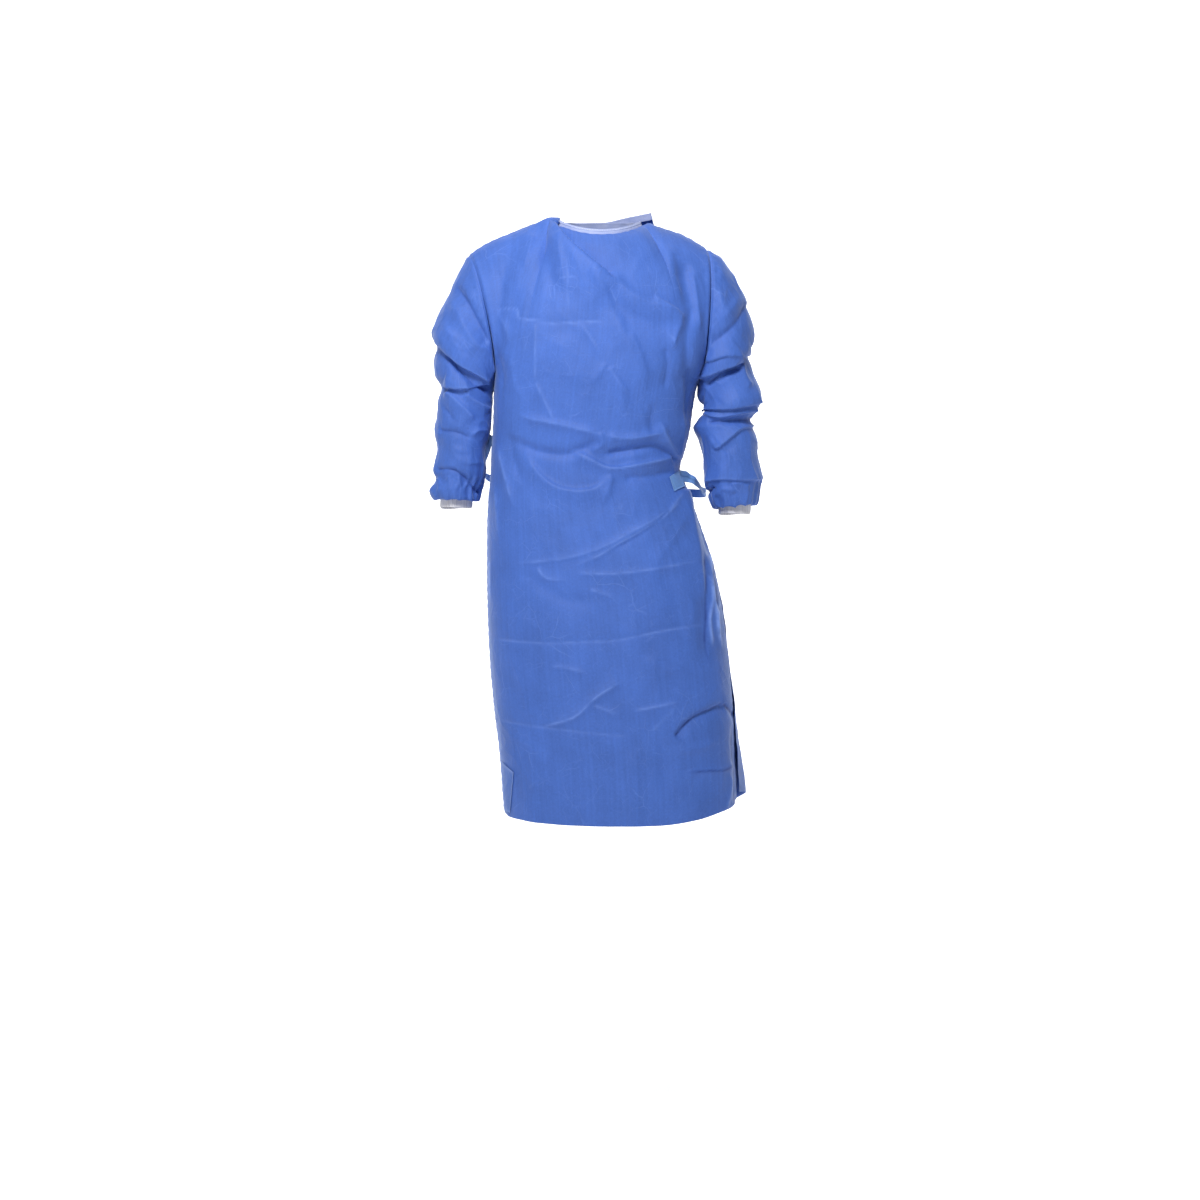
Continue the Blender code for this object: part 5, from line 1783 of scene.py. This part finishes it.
@dataclass
class Studio:
    """The camera, the pale sweep and the soft lights."""

    lens: float = 83.33
    sky: float = 0.2
    aim: Point = (0.0, 0.0, -0.55)
    # The sweep, in metres: its floor, its front and back edges, and the curve that joins them.
    floor: float = -1.62
    front: float = -8.0
    back: float = 6.6
    top: float = 9.0
    half_width: float = 10.0
    radius: float = 1.2
    bend: tuple[float, float] = (0.3, 0.7)
    rows: int = 61
    columns: int = 5
    # Its paper, which glows more and more from the near place to the far one.
    paper: Colour = (0.93, 0.93, 0.93)
    speckle: Grain = Grain(40, 40, 0.01, detail=2.0, rough=0.5)
    glow: tuple[float, float] = (0.36, 0.95)
    glow_places: tuple[float, float] = (1.2, 4.5)
    lamps: tuple[Lamp, ...] = (
        Lamp("key_light", (-0.75, -2.2, 1.6), 0.7, 38),
        Lamp("chest_light", (-0.2, -1.35, 0.6), 0.5, 20),
        Lamp("left_light", (-2.6, -0.4, 0.3), 1.2, 5),
        Lamp("right_light", (2.6, 0.6, 0.2), 1.2, 3),
        Lamp("backdrop_light", (0.0, 0.6, 3.6), 2.6, 60),
    )

    def camera(self) -> None:
        """Places the camera level with the middle of the view."""
        data = bpy.data.cameras.new("camera")
        data.lens = self.lens
        camera = bpy.data.objects.new("camera", data)
        camera.location = (VIEW_CENTRE[0] * MM, -VIEW_DISTANCE * MM, VIEW_CENTRE[1] * MM)
        camera.rotation_euler = (math.radians(90), 0, 0)
        bpy.context.scene.collection.objects.link(camera)
        bpy.context.scene.camera = camera

    def sweep(self) -> None:
        """Makes the floor, which curves up behind the gown."""
        start, end = self.bend
        share = np.linspace(0, 1, self.rows)
        stops = (0, start, end, 1)
        y = np.interp(share, stops, (self.front, self.back - self.radius, self.back, self.back))
        z = np.interp(share, stops, (0, 0, self.radius, self.top))
        bend = (share > start) & (share < end)
        turn = (share[bend] - start) / (end - start) * math.pi / 2
        y[bend] = self.back - self.radius + self.radius * np.sin(turn)
        z[bend] = self.radius - self.radius * np.cos(turn)
        x = np.linspace(-self.half_width, self.half_width, self.columns)
        points = np.stack(np.broadcast_arrays(x, y[:, None], z[:, None] + self.floor), axis=-1)
        obj = Cloth.plain(points / MM).build("studio_sweep")
        obj.data.materials.append(self.paper_material())

    def paper_material(self) -> bpy.types.Material:
        """Lays out the sweep's material.

        Returns:
            The material.
        """
        n = Nodes("studio_paper")
        tone = n.ramp(n.grain(self.speckle), LOW, HIGH, 1 - self.speckle.shift,
                      1 + self.speckle.shift)
        n.feed(n.tint(self.paper, tone), "Base Color")
        n.shader.inputs["Roughness"].default_value = 0.9
        n.shader.inputs["Emission Color"].default_value = (1, 1, 1, 1)
        place = n.add("ShaderNodeTexCoord", {}, {}).outputs["Object"]
        far = n.add("ShaderNodeSeparateXYZ", {}, {"Vector": place}).outputs["Y"]
        n.feed(n.ramp(far, *self.glow_places, *self.glow), "Emission Strength")
        return n.material

    def light(self, lamp: Lamp) -> None:
        """Adds a light, turned to the gown's middle.

        Args:
            lamp: The light.
        """
        data = bpy.data.lights.new(lamp.name, "AREA")
        data.size = lamp.size
        data.energy = lamp.power
        obj = bpy.data.objects.new(lamp.name, data)
        obj.location = lamp.place
        aim = Vector(self.aim) - Vector(lamp.place)
        obj.rotation_euler = aim.to_track_quat("-Z", "Y").to_euler()
        bpy.context.scene.collection.objects.link(obj)

    def build(self) -> None:
        """Sets up the studio."""
        self.camera()
        self.sweep()
        world = bpy.data.worlds.new("studio")
        world.use_nodes = True
        sky = world.node_tree.nodes["Background"]
        sky.inputs["Color"].default_value = (1, 1, 1, 1)
        sky.inputs["Strength"].default_value = self.sky
        bpy.context.scene.world = world
        bpy.context.scene.view_settings.view_transform = "Standard"
        for lamp in self.lamps:
            self.light(lamp)


def dress_ties(finish: bpy.types.Material) -> None:
    """Makes the two ties, their loose ends and the knot.

    Args:
        finish: Their material.
    """
    # node, route, widths along it, flat size, and how far it turns along it, in degrees
    plans = (
        ("tie_left", ((147.5, -42, -441), (160, -22, -442), (176, -8, -450), (189, 36, -463),
                      (197, 78, -466), (186, 122, -466), (132, 151, -462), (70, 160, -462),
                      (18.5, 165, -458)), (20, 20, 15, 13, 14, 15, 15, 15, 14), (0.031, 0.32)),
        ("tie_right", ((-194, 16, -364), (-204, 44, -392), (-212, 84, -424), (-196, 122, -440),
                       (-140, 148, -450), (-70, 160, -455), (-15.9, 165, -457)),
         (20, 16, 14, 15, 15, 15, 14), (0.031, 0.31), (50, 60, 45, 15, 0, 0, 0)),
        ("tie_tail_left", ((9, 166, -467.7), (22, 168, -520), (28, 166, -580), (34, 168, -640)),
         (14, 15, 15, 16), (0.031, 0.18)),
        ("tie_tail_right", ((-8, 166, -467.5), (-20, 169, -515), (-30, 167, -570),
                            (-33, 169, -615)), (14, 15, 15, 16), (0.031, 0.155)),
    )
    for node, route, widths, *rest in plans:
        Ribbon(node, route, widths, finish, *rest).build()
    TieKnot(finish).build()


def main() -> None:
    """Dresses the frame, piece by piece."""
    logging.basicConfig(level=logging.INFO, format="%(message)s")
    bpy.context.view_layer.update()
    Studio().build()
    # Each cloth's pale is crease wear and painted highlight, its dark painted shade and stitches.
    gown = NonwovenCloth("gown_cloth", colour=(0.047, 0.118, 0.425), pale=(0.17, 0.29, 0.72),
                         dark=(0.020, 0.052, 0.24)).material()
    corner = NonwovenCloth("pale_cloth", colour=(0.06, 0.135, 0.43), pale=(0.26, 0.38, 0.74),
                           dark=(0.04, 0.1, 0.35), crinkle=0.4).material()
    tie = NonwovenCloth("tie_cloth", colour=(0.125, 0.26, 0.56), pale=(0.26, 0.44, 0.72),
                        dark=(0.04, 0.1, 0.28), crinkle=0.5).material()
    tape = WovenTape("binding_tape", colour=(0.33, 0.38, 0.60), dark=(0.16, 0.23, 0.50)).material()
    knit = RibKnit("cuff_knit", colour=(0.80, 0.80, 0.83), shade=(0.42, 0.42, 0.5)).material()

    form = BodyForm()
    front, _, _ = [BodyPanel(form, plan, gown).build() for plan in panel_plans()]
    Sleeve("sleeve_right", RIGHT_SLEEVE_FOLDS, gown, mirrored=False, rings=RIGHT_SLEEVE_RINGS,
           seed=2.0).build()
    Sleeve("sleeve_left", LEFT_SLEEVE_FOLDS, gown, mirrored=True, rings=LEFT_SLEEVE_RINGS,
           seed=6.0).build()
    KnitCuff("cuff_right", centre=(-255.5, 0.0), half=(29.5, 31.0), top=-459, bottom=-497,
             finish=knit).build()
    KnitCuff("cuff_left", centre=(245.5, 0.5), half=(29.5, 30.5), top=-473, bottom=-508,
             finish=knit).build()
    NeckBinding(form, tape).build()
    LaidPiece("tie_patch_cloth", "tie_patch", "tie",
              corners=((134, -470), (153, -460), (146, -430), (126, -445)), finish=tie,
              front=front, flat=(0.035, 0.033)).build()
    LaidPiece("hem_corner_cloth", "hem_corner", "pale_cloth",
              corners=((-163, -1037), (-155, -1040), (-148, -967), (-171, -950)), finish=corner,
              front=front, flat=(0.03, 0.085)).build()
    dress_ties(tie)


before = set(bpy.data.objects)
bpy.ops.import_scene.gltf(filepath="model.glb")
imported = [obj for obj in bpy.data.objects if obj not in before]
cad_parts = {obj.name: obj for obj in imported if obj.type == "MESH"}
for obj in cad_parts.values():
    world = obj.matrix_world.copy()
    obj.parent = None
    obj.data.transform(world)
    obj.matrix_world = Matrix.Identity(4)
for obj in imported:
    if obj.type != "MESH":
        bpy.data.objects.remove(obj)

if __name__ == "__main__":
    main()
